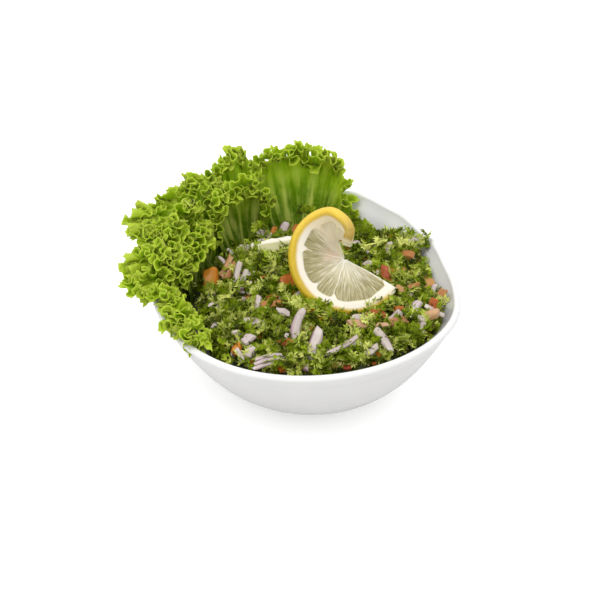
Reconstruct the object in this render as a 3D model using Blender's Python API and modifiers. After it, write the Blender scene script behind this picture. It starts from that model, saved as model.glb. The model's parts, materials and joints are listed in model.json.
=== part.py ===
"""Tabbouleh salad in a white bowl, with lettuce leaves and a curled lemon slice.

Z is up and the origin is the centre of the bowl's flat foot. The open side of the
bowl faces up, the lettuce stands at the back and left, and the front is -Y.
All lengths are in metres and all angles are in degrees unless a name says otherwise.
"""

import math

import bmesh
import bpy
import numpy as np

# Bowl
RIM_RADIUS = 0.0755
RIM_HEIGHT = 0.0526
FOOT_RADIUS = 0.0265
WALL = 0.0037
FLARE = 2.35
FLOOR = 0.0038
RIM_TILT = (0.0018, 0.0024)
RIM_SADDLE = (-0.0016, -0.0024)
RIM_OVAL = (-0.028, -0.043)
RIM_SHIFT = (-0.0004, -0.0011)
# Soft waves of the rim: azimuth, half width, rise, swell
RIM_WAVES = (
    (66, 11, 0.0036, -0.0003),
    (48, 9, 0.0001, 0.0024),
    (33, 8, -0.0017, 0.0012),
    (22, 7, 0.0016, -0.0010),
    (8, 12, -0.0004, -0.0027),
    (350, 14, -0.0010, -0.0023),
)
BOWL_SECTORS = 50

# Chopped salad
GAP = 0.0003
CROWN = 0.0545
CROWN_POWER = 1.5
# Edge of the salad's top: azimuth, height
SALAD_EDGE = (
    (0, 0.0455), (7, 0.0440), (14, 0.0460), (20, 0.0500), (30, 0.0505),
    (40, 0.0510), (47, 0.0445), (54, 0.0445), (61, 0.0415), (75, 0.0440),
    (92, 0.0460), (120, 0.0450), (150, 0.0435), (180, 0.0425), (205, 0.0430),
    (225, 0.0445), (245, 0.0470), (270, 0.0495), (290, 0.0515), (310, 0.0520),
    (335, 0.0505), (350, 0.0480),
)
# Where leaves stand the edge stays back from the wall: azimuth, radius
LEAF_RECESS = (
    (64, 0.068), (70, 0.055), (77, 0.0505), (92, 0.050), (120, 0.050),
    (150, 0.049),
    (180, 0.049), (205, 0.050), (220, 0.0515), (229, 0.058), (238, 0.073),
)
RECESS_SLOPE = 0.30
SALAD_BOTTOM = 0.0046
SALAD_SECTORS = 48
SALAD_RINGS = 9
SALAD_LEVELS = (0.92, 0.76, 0.58, 0.40, 0.24, 0.12)
CHORD_ROOM = 0.0008
LUMP_HEIGHT = 0.0013

# Lettuce
LEAF_COLUMNS = 26
LEAF_ROWS = 6
LEAF_THICKNESS = 0.0011
RUFFLE_START = 0.30
RUFFLE_FADE = 0.18
OVERHANG_FROM = 0.062
OVERHANG_FULL = 0.084

# Lemon slice
LEMON_RADIUS = 0.0274
LEMON_THICKNESS = 0.0043
LEMON_HUB = (0.0175, -0.0091, 0.0666)
LEMON_HOLE = 0.0026
LEMON_HUB_SHARE = 0.25
LEMON_THIN_REACH = 0.0120
LEMON_COLUMNS = 24
LEMON_ROWS = 5
LEMON_VIEW_TILT = 35.0
# Direction of the rind seen from the hub, along the curl: right, up, forward
LEMON_CURL = (
    (0.85, -0.52, 0.05),
    (0.53, -0.82, 0.22),
    (-0.02, -0.92, 0.38),
    (-0.64, -0.64, 0.42),
    (-0.92, 0.00, 0.38),
    (-0.76, 0.54, 0.36),
    (-0.34, 0.80, 0.50),
    (-0.07, 0.67, 0.74),
    (0.05, 0.46, 0.885),
    (0.00, 0.29, 0.957),
)
LEMON_CLEARANCE = 0.0004

# Lettuce rib laid across the salad
RIB_START = (-0.0268, 0.0215, 0.0522)
RIB_END = (0.0018, 0.0262, 0.0540)
RIB_WIDTH = 0.0062
RIB_THICKNESS = 0.0022
RIB_ARCH = 0.0012

# Each leaf: root ends and margin as (azimuth, radius, height), then how far its
# belly swells (outward, upward) and the length, depth and phase of its ruffles
LEAVES = {
    "leaf_back": dict(
        root=((110, 0.0560, 0.030), (77, 0.0560, 0.030)),
        margin=(
            (113, 0.0605, 0.050), (114, 0.0670, 0.066), (108, 0.0735, 0.080),
            (98, 0.0750, 0.0835), (88, 0.0745, 0.0825), (79, 0.0740, 0.0785),
            (72, 0.0690, 0.065), (70, 0.0625, 0.051),
        ),
        belly=(0.0010, 0.0), length=0.0170, depth=0.0024, phase=0.4,
    ),
    "leaf_tall": dict(
        root=((131, 0.0590, 0.031), (113, 0.0590, 0.031)),
        margin=(
            (132, 0.0650, 0.054), (130, 0.0740, 0.068), (124, 0.0790, 0.078),
            (117, 0.0790, 0.084), (112, 0.0775, 0.077), (110, 0.0730, 0.063),
        ),
        belly=(0.0010, 0.0), length=0.0190, depth=0.0022, phase=1.9,
    ),
    "leaf_front": dict(
        root=((136, 0.0555, 0.032), (114, 0.0555, 0.032)),
        margin=(
            (141, 0.0570, 0.049), (139, 0.0620, 0.062), (131, 0.0640, 0.071),
            (121, 0.0620, 0.072), (112, 0.0590, 0.070), (109, 0.0555, 0.056),
        ),
        belly=(0.0, 0.0), length=0.0150, depth=0.0018, phase=0.0,
    ),
    "leaf_upper_left": dict(
        root=((158, 0.0588, 0.031), (136, 0.0590, 0.031)),
        margin=(
            (165, 0.0870, 0.061), (160, 0.0915, 0.062), (152, 0.0910, 0.0635),
            (144, 0.0870, 0.067), (137, 0.0820, 0.0725), (132, 0.0775, 0.077),
        ),
        belly=(-0.0090, 0.0160), length=0.0160, depth=0.0024, phase=0.9,
    ),
    "leaf_middle_left": dict(
        root=((181, 0.0566, 0.031), (144, 0.0566, 0.031)),
        margin=(
            (187, 0.0610, 0.054), (181, 0.0655, 0.062), (172, 0.0665, 0.068),
            (162, 0.0665, 0.071), (151, 0.0665, 0.073), (144, 0.0640, 0.066),
        ),
        belly=(-0.0020, 0.0), length=0.0150, depth=0.0018, phase=0.2,
    ),
    "leaf_left": dict(
        root=((188, 0.0582, 0.031), (166, 0.0588, 0.031)),
        margin=(
            (196, 0.0730, 0.0535), (189, 0.0785, 0.0530), (181, 0.0825, 0.0530),
            (174, 0.0840, 0.0540), (168, 0.0840, 0.0565),
        ),
        belly=(-0.0078, 0.0160), length=0.0160, depth=0.0024, phase=2.2,
    ),
    "leaf_inner_left": dict(
        root=((180, 0.0550, 0.033), (148, 0.0550, 0.033)),
        margin=(
            (184, 0.0560, 0.050), (177, 0.0580, 0.058), (167, 0.0560, 0.062),
            (156, 0.0550, 0.064), (149, 0.0540, 0.062), (146, 0.0530, 0.052),
        ),
        belly=(0.0, 0.0), length=0.0150, depth=0.0018, phase=1.2,
    ),
    "leaf_lower_left": dict(
        root=((214, 0.0562, 0.0345), (191, 0.0555, 0.033)),
        margin=(
            (230, 0.0645, 0.0495), (223, 0.0665, 0.0500), (214, 0.0685, 0.0520),
            (206, 0.0690, 0.0545), (199, 0.0675, 0.056), (193, 0.0635, 0.055),
        ),
        belly=(0.0, 0.0), length=0.0150, depth=0.0018, phase=0.3,
    ),
}


def clear_scene():
    for obj in list(bpy.data.objects):
        bpy.data.objects.remove(obj, do_unlink=True)


def make_material(name, colour, roughness):
    material = bpy.data.materials.new(name)
    material.use_nodes = True
    shader = material.node_tree.nodes["Principled BSDF"]
    shader.inputs["Base Color"].default_value = (*colour, 1.0)
    shader.inputs["Roughness"].default_value = roughness
    return material


def add_object(name, mesh, material, collection):
    mesh.materials.clear()
    mesh.materials.append(material)
    mesh.shade_smooth()
    mesh.set_sharp_from_angle(angle=math.radians(40))
    obj = bpy.data.objects.new(name, mesh)
    collection.objects.link(obj)
    return obj


def turned_mesh(name, profile, sectors):
    """Closed mesh swept round Z by a Screw modifier from a profile of (r, z)."""
    outline = bmesh.new()
    points = [outline.verts.new((radius, 0.0, z)) for radius, z in profile]
    for first, second in zip(points, points[1:]):
        outline.edges.new((first, second))
    mesh = bpy.data.meshes.new(name + "_profile")
    outline.to_mesh(mesh)
    outline.free()
    guide = bpy.data.objects.new(name + "_profile", mesh)
    bpy.context.scene.collection.objects.link(guide)
    screw = guide.modifiers.new("turn", "SCREW")
    screw.steps = sectors
    screw.render_steps = sectors
    screw.use_merge_vertices = True
    screw.merge_threshold = 0.00001
    bpy.context.view_layer.update()
    graph = bpy.context.evaluated_depsgraph_get()
    turned = bpy.data.meshes.new_from_object(guide.evaluated_get(graph))
    turned.name = name
    bpy.data.objects.remove(guide, do_unlink=True)
    return turned


def close_outward(mesh):
    work = bmesh.new()
    work.from_mesh(mesh)
    bmesh.ops.remove_doubles(work, verts=work.verts, dist=0.00001)
    bmesh.ops.recalc_face_normals(work, faces=work.faces)
    work.to_mesh(mesh)
    work.free()


def sheet_object(name, grid, thickness, material, collection):
    """Open sheet through a grid of points, made solid by a Solidify modifier."""
    rows, columns = grid.shape[:2]
    work = bmesh.new()
    bmesh.ops.create_grid(work, x_segments=columns - 1, y_segments=rows - 1, size=1)
    work.verts.ensure_lookup_table()
    order = sorted(work.verts, key=lambda v: (round(v.co.y, 4), v.co.x))
    for vertex, point in zip(order, grid.reshape(-1, 3)):
        vertex.co = point
    mesh = bpy.data.meshes.new(name)
    work.to_mesh(mesh)
    work.free()
    obj = add_object(name, mesh, material, collection)
    solid = obj.modifiers.new("thickness", "SOLIDIFY")
    solid.thickness = thickness
    solid.offset = 0.0
    return obj


def around(table, azimuth):
    """Value of an (azimuth, value) table, read smoothly round the full circle."""
    angles = [row[0] for row in table]
    values = [row[1] for row in table]
    angles = [angles[-1] - 360] + angles + [angles[0] + 360]
    values = [values[-1]] + values + [values[0]]
    turn = azimuth % 360
    for left in range(len(angles) - 1):
        if angles[left] <= turn <= angles[left + 1]:
            share = (turn - angles[left]) / (angles[left + 1] - angles[left])
            share = share * share * (3 - 2 * share)
            return values[left] + share * (values[left + 1] - values[left])
    return values[0]


def rim(azimuth):
    """Height and radius of the uneven rim at one azimuth."""
    a = math.radians(azimuth)
    height = RIM_HEIGHT
    height += RIM_TILT[0] * math.cos(a) + RIM_TILT[1] * math.sin(a)
    height += RIM_SADDLE[0] * math.cos(2 * a) + RIM_SADDLE[1] * math.sin(2 * a)
    radius = RIM_RADIUS
    radius *= 1 + RIM_OVAL[0] * math.cos(2 * a) + RIM_OVAL[1] * math.sin(2 * a)
    radius += RIM_SHIFT[0] * math.cos(a) + RIM_SHIFT[1] * math.sin(a)
    for middle, width, rise, swell in RIM_WAVES:
        away = (azimuth - middle + 180) % 360 - 180
        share = math.exp(-((away / width) ** 2))
        height += rise * share
        radius += swell * share
    return height, radius


def inner_radius(azimuth, z):
    height, radius = rim(azimuth)
    share = min(max((z - FLOOR) / height, 0.0), 1.0) ** (1 / FLARE)
    return FOOT_RADIUS + (radius - FOOT_RADIUS) * share - WALL


def polar(azimuth, radius, z):
    a = math.radians(azimuth)
    return (radius * math.cos(a), radius * math.sin(a), z)


def bowl_profile():
    """Wall of the plain round bowl, from under the foot round to the floor."""
    span = RIM_RADIUS - FOOT_RADIUS
    points = [(0.0, 0.0), (FOOT_RADIUS, 0.0)]
    for share in (0.18, 0.34, 0.50, 0.65, 0.79, 0.91):
        points.append((FOOT_RADIUS + span * share, RIM_HEIGHT * share ** FLARE))
    half = WALL / 2
    for degrees in (0, 36, 72, 108, 144, 180):
        turn = math.radians(degrees)
        x = RIM_RADIUS - half + half * math.cos(turn)
        points.append((x, RIM_HEIGHT - half + half * math.sin(turn)))
    for share in (0.91, 0.79, 0.65, 0.50, 0.34, 0.18, 0.06):
        x = FOOT_RADIUS + span * share - WALL
        points.append((x, FLOOR + (RIM_HEIGHT - half) * share ** FLARE))
    points.append((0.0, FLOOR))
    return points


def make_bowl(material, collection):
    """Turned bowl whose wall is then drawn out to the uneven rim."""
    mesh = turned_mesh("bowl", bowl_profile(), BOWL_SECTORS)
    span = RIM_RADIUS - FOOT_RADIUS
    for vertex in mesh.vertices:
        x, y, z = vertex.co
        radius = math.hypot(x, y)
        azimuth = math.degrees(math.atan2(y, x))
        height, wide = rim(azimuth)
        share = max(radius + WALL * min(z / RIM_HEIGHT, 0.5) - FOOT_RADIUS, 0) / span
        lift = 1 + (height / RIM_HEIGHT - 1) * min(share, 1)
        reach = radius + (wide - RIM_RADIUS) * min(share, 1)
        vertex.co = polar(azimuth, reach, z * lift)
    close_outward(mesh)
    return add_object("bowl", mesh, material, collection)


def salad_edge(azimuth):
    """Radius and height where the top of the salad ends."""
    z = around(SALAD_EDGE, azimuth)
    radius = inner_radius(azimuth, z) - GAP - CHORD_ROOM
    if LEAF_RECESS[0][0] <= azimuth % 360 <= LEAF_RECESS[-1][0]:
        radius = min(radius, around(LEAF_RECESS, azimuth))
    return radius, z


def salad_height(azimuth, share):
    """Height of the uneven mound, from share 0 at its crown to 1 at its edge."""
    radius, edge = salad_edge(azimuth)
    x, y, _ = polar(azimuth, radius * share, 0.0)
    fall = max(1 - share ** 2, 0.0)
    dome = fall ** CROWN_POWER * 0.4 + fall * 0.6
    lumps = math.sin(x * 390 + 1.3) * math.sin(y * 430 + 0.4)
    lumps += 0.6 * math.sin(x * 710 + y * 300 + 2.0) * math.sin(y * 640 - x * 210)
    return edge + (CROWN - edge) * dome + LUMP_HEIGHT * lumps * (1 - share ** 4)


def salad_profile():
    """Unit profile of the heap: share of its radius, then level of its side."""
    points = [(ring / SALAD_RINGS, 1.0) for ring in range(SALAD_RINGS + 1)]
    points += [(1.0, level) for level in SALAD_LEVELS]
    return points + [(0.8, 0.0), (0.0, 0.0)]


def make_salad(material, collection):
    """Mound that fills the bowl, its side following the wall or set back from it."""
    mesh = turned_mesh("tabbouleh", salad_profile(), SALAD_SECTORS)
    for vertex in mesh.vertices:
        x, y, level = vertex.co
        share = math.hypot(x, y)
        azimuth = math.degrees(math.atan2(y, x))
        radius, edge = salad_edge(azimuth)
        if level > 0.999:
            vertex.co = polar(azimuth, radius * share, salad_height(azimuth, share))
            continue
        z = SALAD_BOTTOM + (edge - SALAD_BOTTOM) * level
        wall = inner_radius(azimuth, z) - GAP - CHORD_ROOM
        slope = radius + (edge - z) * RECESS_SLOPE
        vertex.co = polar(azimuth, min(wall, slope) * share, z)
    close_outward(mesh)
    return add_object("tabbouleh", mesh, material, collection)


def smooth_path(points, count):
    """Even samples on a smooth path through the points."""
    points = np.array(points, float)
    ends = (2 * points[0] - points[1], 2 * points[-1] - points[-2])
    padded = np.vstack((ends[0], points, ends[1]))
    dense = []
    for k in range(len(points) - 1):
        p0, p1, p2, p3 = padded[k : k + 4]
        for t in np.linspace(0, 1, 24, endpoint=k == len(points) - 2):
            bend = 2 * p0 - 5 * p1 + 4 * p2 - p3
            turn = 3 * p1 - p0 - 3 * p2 + p3
            dense.append(p1 + 0.5 * t * (p2 - p0 + t * (bend + t * turn)))
    dense = np.array(dense)
    steps = np.linalg.norm(np.diff(dense, axis=0), axis=1)
    along = np.concatenate(([0.0], np.cumsum(steps)))
    places = np.linspace(0, along[-1], count)
    return np.stack([np.interp(places, along, dense[:, k]) for k in range(3)], 1)


def surface_normals(grid):
    down = np.gradient(grid, axis=0)
    across = np.gradient(grid, axis=1)
    normals = np.cross(across, down)
    return normals / np.linalg.norm(normals, axis=2, keepdims=True)


def leaf_surface(leaf, columns, rows):
    """Middle surface of a leaf, from its root row to its ruffled margin row."""
    margin = smooth_path([polar(*p) for p in leaf["margin"]], columns)
    start, end = leaf["root"]
    share = np.linspace(0, 1, columns)[:, None]
    ends = np.array(start) * (1 - share) + np.array(end) * share
    root = np.array([polar(*p) for p in ends])
    outward = root * (1, 1, 0)
    outward /= np.linalg.norm(outward, axis=1, keepdims=True)
    overhang = np.linalg.norm(margin[:, :2], axis=1, keepdims=True) - OVERHANG_FROM
    overhang = np.clip(overhang / (OVERHANG_FULL - OVERHANG_FROM), 0, 1)
    out, up = leaf["belly"]
    middle = (root + margin) / 2
    middle += (outward * out + np.array((0.0, 0.0, up))) * overhang
    t = np.linspace(0, 1, rows)[:, None, None]
    grid = (1 - t) ** 2 * root + 2 * t * (1 - t) * middle + t ** 2 * margin
    steps = np.linalg.norm(np.diff(margin, axis=0), axis=1)
    along = np.concatenate(([0.0], np.cumsum(steps)))
    wave = np.sin(2 * math.pi * along / leaf["length"] + leaf["phase"])
    fade = np.clip(np.minimum(share, 1 - share) / RUFFLE_FADE, 0, 1)[None]
    grow = np.clip((t - RUFFLE_START) / (1 - RUFFLE_START), 0, 1) ** 1.2 * fade
    return grid + surface_normals(grid) * leaf["depth"] * grow * wave[None, :, None]


def make_leaf(name, leaf, material, collection):
    grid = leaf_surface(leaf, LEAF_COLUMNS, LEAF_ROWS)
    return sheet_object(name, grid, LEAF_THICKNESS, material, collection)


def lemon_surface(radius, extra):
    """Middle surface of the curled slice: rows run from its hub out to the rind."""
    tilt = math.radians(LEMON_VIEW_TILT)
    up = np.array((0.0, math.sin(tilt), math.cos(tilt)))
    forward = np.array((0.0, -math.cos(tilt), math.sin(tilt)))
    rays = []
    for right, rise, near in LEMON_CURL:
        ray = np.array((right, 0.0, 0.0)) + up * rise + forward * near
        rays.append(ray / np.linalg.norm(ray))
    rays = smooth_path(rays, LEMON_COLUMNS)
    steps = np.linalg.norm(rays[0] - rays[1])
    rays[0] += (rays[0] - rays[1]) * extra / (radius * steps)
    rays[-1] += (rays[-1] - rays[-2]) * extra / (radius * steps)
    rays /= np.linalg.norm(rays, axis=1, keepdims=True)
    reach = np.linspace(LEMON_HOLE, radius, LEMON_ROWS)[:, None, None]
    return np.array(LEMON_HUB) + rays[None] * reach


def curled_slice(name, extra, material, collection):
    """Curled slice, thinner towards its hub, grown on every side by the extra."""
    grid = lemon_surface(LEMON_RADIUS + extra, extra)
    thickness = LEMON_THICKNESS + 2 * extra
    obj = sheet_object(name, grid, thickness, material, collection)
    full = obj.vertex_groups.new(name="full_thickness")
    hub = np.array(LEMON_HUB)
    for vertex in obj.data.vertices:
        away = np.linalg.norm(np.array(vertex.co) - hub)
        weight = min((away - LEMON_HOLE) / (LEMON_THIN_REACH - LEMON_HOLE), 1.0)
        full.add([vertex.index], max(weight, 0.0), "REPLACE")
    obj.modifiers["thickness"].vertex_group = full.name
    obj.modifiers["thickness"].thickness_vertex_group = LEMON_HUB_SHARE
    return obj


def make_rib(material, collection):
    start, end = np.array(RIB_START), np.array(RIB_END)
    along = (end - start) / np.linalg.norm(end - start)
    side = np.cross((0.0, 0.0, 1.0), along)
    side /= np.linalg.norm(side)
    rows = []
    for k in range(7):
        share = k / 6
        middle = start + (end - start) * share
        middle = middle + np.array((0, 0, RIB_ARCH * math.sin(math.pi * share)))
        width = RIB_WIDTH * (0.72 + 0.28 * math.sin(math.pi * min(share + 0.2, 1)))
        rows.append([middle + side * width * (c / 3 - 0.5) for c in range(4)])
    grid = np.array(rows)
    return sheet_object("lettuce_rib", grid, RIB_THICKNESS, material, collection)


def cut_round_lemon(salad, material, cutters):
    """Sink the slice into the salad without the two touching."""
    cutter = curled_slice("lemon_room", LEMON_CLEARANCE, material, cutters)
    cutter.hide_render = True
    cutter.display_type = "WIRE"
    cut = salad.modifiers.new("lemon_room", "BOOLEAN")
    cut.operation = "DIFFERENCE"
    cut.object = cutter
    cut.solver = "EXACT"


def main():
    clear_scene()
    collection = bpy.data.collections.new("tabbouleh_salad")
    cutters = bpy.data.collections.new("tabbouleh_salad_cutters")
    bpy.context.scene.collection.children.link(collection)
    bpy.context.scene.collection.children.link(cutters)
    make_bowl(make_material("bowl_glaze", (0.86, 0.86, 0.85), 0.25), collection)
    mix = make_material("salad_mix", (0.12, 0.26, 0.03), 0.6)
    salad = make_salad(mix, collection)
    for name, leaf in LEAVES.items():
        lettuce = make_material(name + "_green", (0.28, 0.46, 0.03), 0.5)
        make_leaf(name, leaf, lettuce, collection)
    flesh = make_material("lemon_flesh", (0.80, 0.62, 0.15), 0.4)
    curled_slice("lemon_slice", 0.0, flesh, collection)
    make_rib(make_material("rib_pale", (0.75, 0.78, 0.50), 0.5), collection)
    cut_round_lemon(salad, mix, cutters)


main()
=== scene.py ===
# Tabbouleh salad: chopped parsley, onion and tomato in a white bowl, with frilled
# lettuce at the back and left and a curled slice of lemon on top. Lengths are metres.
import json
import math

import bmesh
import bpy
import numpy as np
from mathutils import Matrix, Vector
from mathutils.bvhtree import BVHTree

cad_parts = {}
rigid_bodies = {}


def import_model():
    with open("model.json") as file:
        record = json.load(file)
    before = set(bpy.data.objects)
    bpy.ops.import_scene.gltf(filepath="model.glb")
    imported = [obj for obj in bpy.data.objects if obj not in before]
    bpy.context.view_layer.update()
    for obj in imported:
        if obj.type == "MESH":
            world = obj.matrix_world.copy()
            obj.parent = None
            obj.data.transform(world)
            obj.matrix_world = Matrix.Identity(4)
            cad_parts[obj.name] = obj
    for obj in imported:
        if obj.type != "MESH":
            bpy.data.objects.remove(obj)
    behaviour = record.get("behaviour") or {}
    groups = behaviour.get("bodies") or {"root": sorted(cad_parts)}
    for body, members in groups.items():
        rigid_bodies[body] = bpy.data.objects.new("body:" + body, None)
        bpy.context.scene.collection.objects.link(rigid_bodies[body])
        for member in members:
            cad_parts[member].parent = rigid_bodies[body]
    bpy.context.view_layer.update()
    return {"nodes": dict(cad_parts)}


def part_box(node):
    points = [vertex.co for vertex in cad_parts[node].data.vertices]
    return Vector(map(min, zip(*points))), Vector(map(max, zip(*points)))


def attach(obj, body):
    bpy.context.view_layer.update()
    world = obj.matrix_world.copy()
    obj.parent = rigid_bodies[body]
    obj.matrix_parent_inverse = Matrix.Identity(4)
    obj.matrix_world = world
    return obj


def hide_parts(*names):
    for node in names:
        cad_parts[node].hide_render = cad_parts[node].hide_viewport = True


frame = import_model()


# ------------------------------------------------------------------------------
# Bowl. White glazed porcelain, pulled a little out of round, so its rim rises, dips
# and swells. It stands on a small flat foot, and its lip is rounded by the glaze.
# ------------------------------------------------------------------------------
BOWL_RADIUS = 0.0755
BOWL_HEIGHT = 0.0526
FOOT_RADIUS = 0.0265
FOOT_HOLLOW = 0.0008
# Ring under the foot: share of the foot's radius, height
FOOT_RING = ((0.78, 0.0002), (0.82, 0.0), (0.97, 0.0), (1.0, 0.0004))
WALL = 0.0037
FLOOR_THICK = 0.0038
FLARE = 2.35
WALL_POINTS = 24
LIP_POINTS = 11
COLUMN_TURN = 1.25
RIM_TILT = (0.0018, 0.0024)
RIM_SADDLE = (-0.0016, -0.0024)
RIM_OVAL = (-0.028, -0.043)
RIM_SHIFT = (-0.0004, -0.0011)
# Soft waves of the rim: azimuth, half width, rise, swell
RIM_WAVES = (
    (66, 11, 0.0036, -0.0003),
    (48, 9, 0.0001, 0.0024),
    (33, 8, -0.0017, 0.0012),
    (22, 7, 0.0016, -0.0010),
    (8, 12, -0.0004, -0.0027),
    (350, 14, -0.0010, -0.0023),
)


def rim(azimuth):
    """Height and radius of the uneven rim, at azimuths in degrees."""
    a = np.radians(azimuth)
    height = BOWL_HEIGHT + RIM_TILT[0] * np.cos(a) + RIM_TILT[1] * np.sin(a)
    height = height + RIM_SADDLE[0] * np.cos(2 * a) + RIM_SADDLE[1] * np.sin(2 * a)
    oval = 1 + RIM_OVAL[0] * np.cos(2 * a) + RIM_OVAL[1] * np.sin(2 * a)
    radius = BOWL_RADIUS * oval + RIM_SHIFT[0] * np.cos(a) + RIM_SHIFT[1] * np.sin(a)
    for middle, width, rise, swell in RIM_WAVES:
        away = (azimuth - middle + 180) % 360 - 180
        share = np.exp(-((away / width) ** 2))
        height = height + rise * share
        radius = radius + swell * share
    return height, radius


def grid_mesh(name, grid, wrap_across=False, wrap_down=False):
    """Mesh of quads through a grid of points; a wrapped side joins up with its start."""
    rows, columns = grid.shape[:2]
    mesh = bpy.data.meshes.new(name)
    down = np.arange(rows if wrap_down else rows - 1)
    across = np.arange(columns if wrap_across else columns - 1)
    r, c = [part.ravel() for part in np.meshgrid(down, across, indexing="ij")]
    r2 = (r + 1) % rows
    c2 = (c + 1) % columns
    quads = np.stack((r * columns + c, r * columns + c2, r2 * columns + c2, r2 * columns + c), 1)
    mesh.from_pydata(grid.reshape(-1, 3).tolist(), [], quads.tolist())
    mesh.update()
    return mesh


def new_piece(name, mesh, material, smooth=True):
    """Object of the given mesh, at the origin, with one finish."""
    mesh.materials.clear()
    mesh.materials.append(material)
    if smooth:
        mesh.shade_smooth()
    piece = bpy.data.objects.new(name, mesh)
    bpy.context.scene.collection.objects.link(piece)
    return piece


def close_outward(mesh):
    """Merge the seams of a closed shape and turn its faces outwards."""
    work = bmesh.new()
    work.from_mesh(mesh)
    bmesh.ops.remove_doubles(work, verts=work.verts, dist=0.00001)
    bmesh.ops.dissolve_degenerate(work, edges=work.edges, dist=0.000001)
    bmesh.ops.recalc_face_normals(work, faces=work.faces)
    work.to_mesh(mesh)
    work.free()


def bowl_section():
    """Section of the round bowl, from under its foot round the lip to its floor."""
    span = BOWL_RADIUS - FOOT_RADIUS
    points = [(0.0, FOOT_HOLLOW), (FOOT_RADIUS * 0.72, FOOT_HOLLOW)]
    points += [(FOOT_RADIUS * share, height) for share, height in FOOT_RING]
    for share in np.linspace(0.06, 0.94, WALL_POINTS):
        points.append((FOOT_RADIUS + span * share, BOWL_HEIGHT * share ** FLARE))
    half = WALL / 2
    for turn in np.radians(np.linspace(0, 180, LIP_POINTS)):
        lip = BOWL_HEIGHT - half + half * math.sin(turn)
        points.append((BOWL_RADIUS - half + half * math.cos(turn), lip))
    for share in np.linspace(0.94, 0.04, WALL_POINTS):
        z = FLOOR_THICK + (BOWL_HEIGHT - half) * share ** FLARE
        points.append((FOOT_RADIUS + span * share - WALL, z))
    points += [(FOOT_RADIUS * 0.6, FLOOR_THICK), (0.0, FLOOR_THICK)]
    return np.array(points)


section = bowl_section()
azimuths = np.arange(0, 360, COLUMN_TURN)
rim_height, rim_radius = rim(azimuths)
span = BOWL_RADIUS - FOOT_RADIUS
reach = section[:, 0] + WALL * np.minimum(section[:, 1] / BOWL_HEIGHT, 0.5) - FOOT_RADIUS
reach = np.clip(reach / span, 0, 1)[:, None]
wide = section[:, :1] + (rim_radius - BOWL_RADIUS) * reach
tall = section[:, 1:] * (1 + (rim_height / BOWL_HEIGHT - 1) * reach)
turn = np.radians(azimuths)
bowl_grid = np.stack((wide * np.cos(turn), wide * np.sin(turn), tall), 2)
bowl_mesh = grid_mesh("porcelain_bowl", bowl_grid, wrap_across=True)
close_outward(bowl_mesh)


def new_finish(name, settings):
    """New finish with settings of its shader by name; also returns its node tree and shader."""
    finish = bpy.data.materials.new(name)
    finish.use_nodes = True
    shader = finish.node_tree.nodes["Principled BSDF"]
    for label, value in settings.items():
        shader.inputs[label].default_value = value
    return finish, finish.node_tree, shader


def give(tree, slot, value):
    """Feeds an input of a node with a socket or a plain value."""
    if isinstance(value, bpy.types.NodeSocket):
        tree.links.new(value, slot)
    else:
        slot.default_value = (*value, 1.0) if slot.type == "RGBA" else value


def node_of(tree, kind, given, **settings):
    """New node of one kind and settings, with the inputs that are named or numbered."""
    node = tree.nodes.new(kind)
    for label, value in settings.items():
        setattr(node, label, value)
    for label, value in given.items():
        give(tree, node.inputs[label], value)
    return node


def object_place(tree):
    """Place on the piece, for patterns that run through it."""
    return tree.nodes.new("ShaderNodeTexCoord").outputs["Object"]


def cloudy(tree, place, scale, detail):
    """Soft pattern from 0 to 1, with about scale patches to a metre."""
    given = {"Vector": place, "Scale": scale, "Detail": detail}
    return node_of(tree, "ShaderNodeTexNoise", given).outputs["Fac"]


def tinted(tree, share, stops):
    """Colour for a share, between stops that each give a place and a colour."""
    node = node_of(tree, "ShaderNodeValToRGB", {"Fac": share})
    elements = node.color_ramp.elements
    for element, (position, colour) in zip(elements, (stops[0], stops[-1])):
        element.position = position
        element.color = (*colour, 1)
    for position, colour in stops[1:-1]:
        elements.new(position).color = (*colour, 1)
    return node.outputs["Color"]


def make_uneven(tree, shader, height, strength, distance):
    """Fine relief of a finish, where a height of 1 stands for the distance."""
    given = {"Height": height, "Strength": strength, "Distance": distance}
    bump = node_of(tree, "ShaderNodeBump", given)
    give(tree, shader.inputs["Normal"], bump.outputs["Normal"])


glaze, tree, shader = new_finish("white_glaze", {
    "Coat Roughness": 0.12, "Coat Weight": 0.35,
    "Subsurface Weight": 0.08, "Subsurface Radius": (0.004, 0.0036, 0.003),
})
place = object_place(tree)
cloud = cloudy(tree, place, 28.0, 3.0)
tint = tinted(tree, cloud, ((0.3, (0.795, 0.790, 0.775)), (0.7, (0.830, 0.825, 0.815))))
give(tree, shader.inputs["Base Color"], tint)
gloss = node_of(tree, "ShaderNodeMapRange", {"Value": cloud, "To Min": 0.16, "To Max": 0.30})
give(tree, shader.inputs["Roughness"], gloss.outputs["Result"])
make_uneven(tree, shader, cloudy(tree, place, 70.0, 1.0), 0.25, 0.0006)

bowl = new_piece("porcelain_bowl", bowl_mesh, glaze)
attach(bowl, "root")
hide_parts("bowl")


# ------------------------------------------------------------------------------
# Heart of the heap. The chopped mix packed together under the loose pieces: wet and lumpy,
# lying a few millimetres inside the heap's outline, and tinted near black as painted shade
# for the depths between the pieces.
# ------------------------------------------------------------------------------
HEART_DEPTH = 0.0026
HEART_RELIEF = 0.0013
HEART_INSET = 0.985
HEART_SECTORS = 240
HEART_RINGS = 70
LUMP_SIZE = 0.0062
CRUMB_SIZE = 0.0027
CRUMB_SHARE = 0.6
# Sides of the heart below its edge: how far down and in they go, then its base and bottom
SKIRT_DROP = 0.006
SKIRT_INSET = 0.96
BASE_HEIGHT = 0.016
BASE_SHARE = 0.60
BOTTOM_HEIGHT = 0.0052
# What counts as the heap's top: how flat it lies, how far below its highest point, how far out
TOP_FLATNESS = 0.2
TOP_FALL = 0.021
TOP_REACH = (0.030, 0.078)
TOP_STEP = 0.0004

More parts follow.
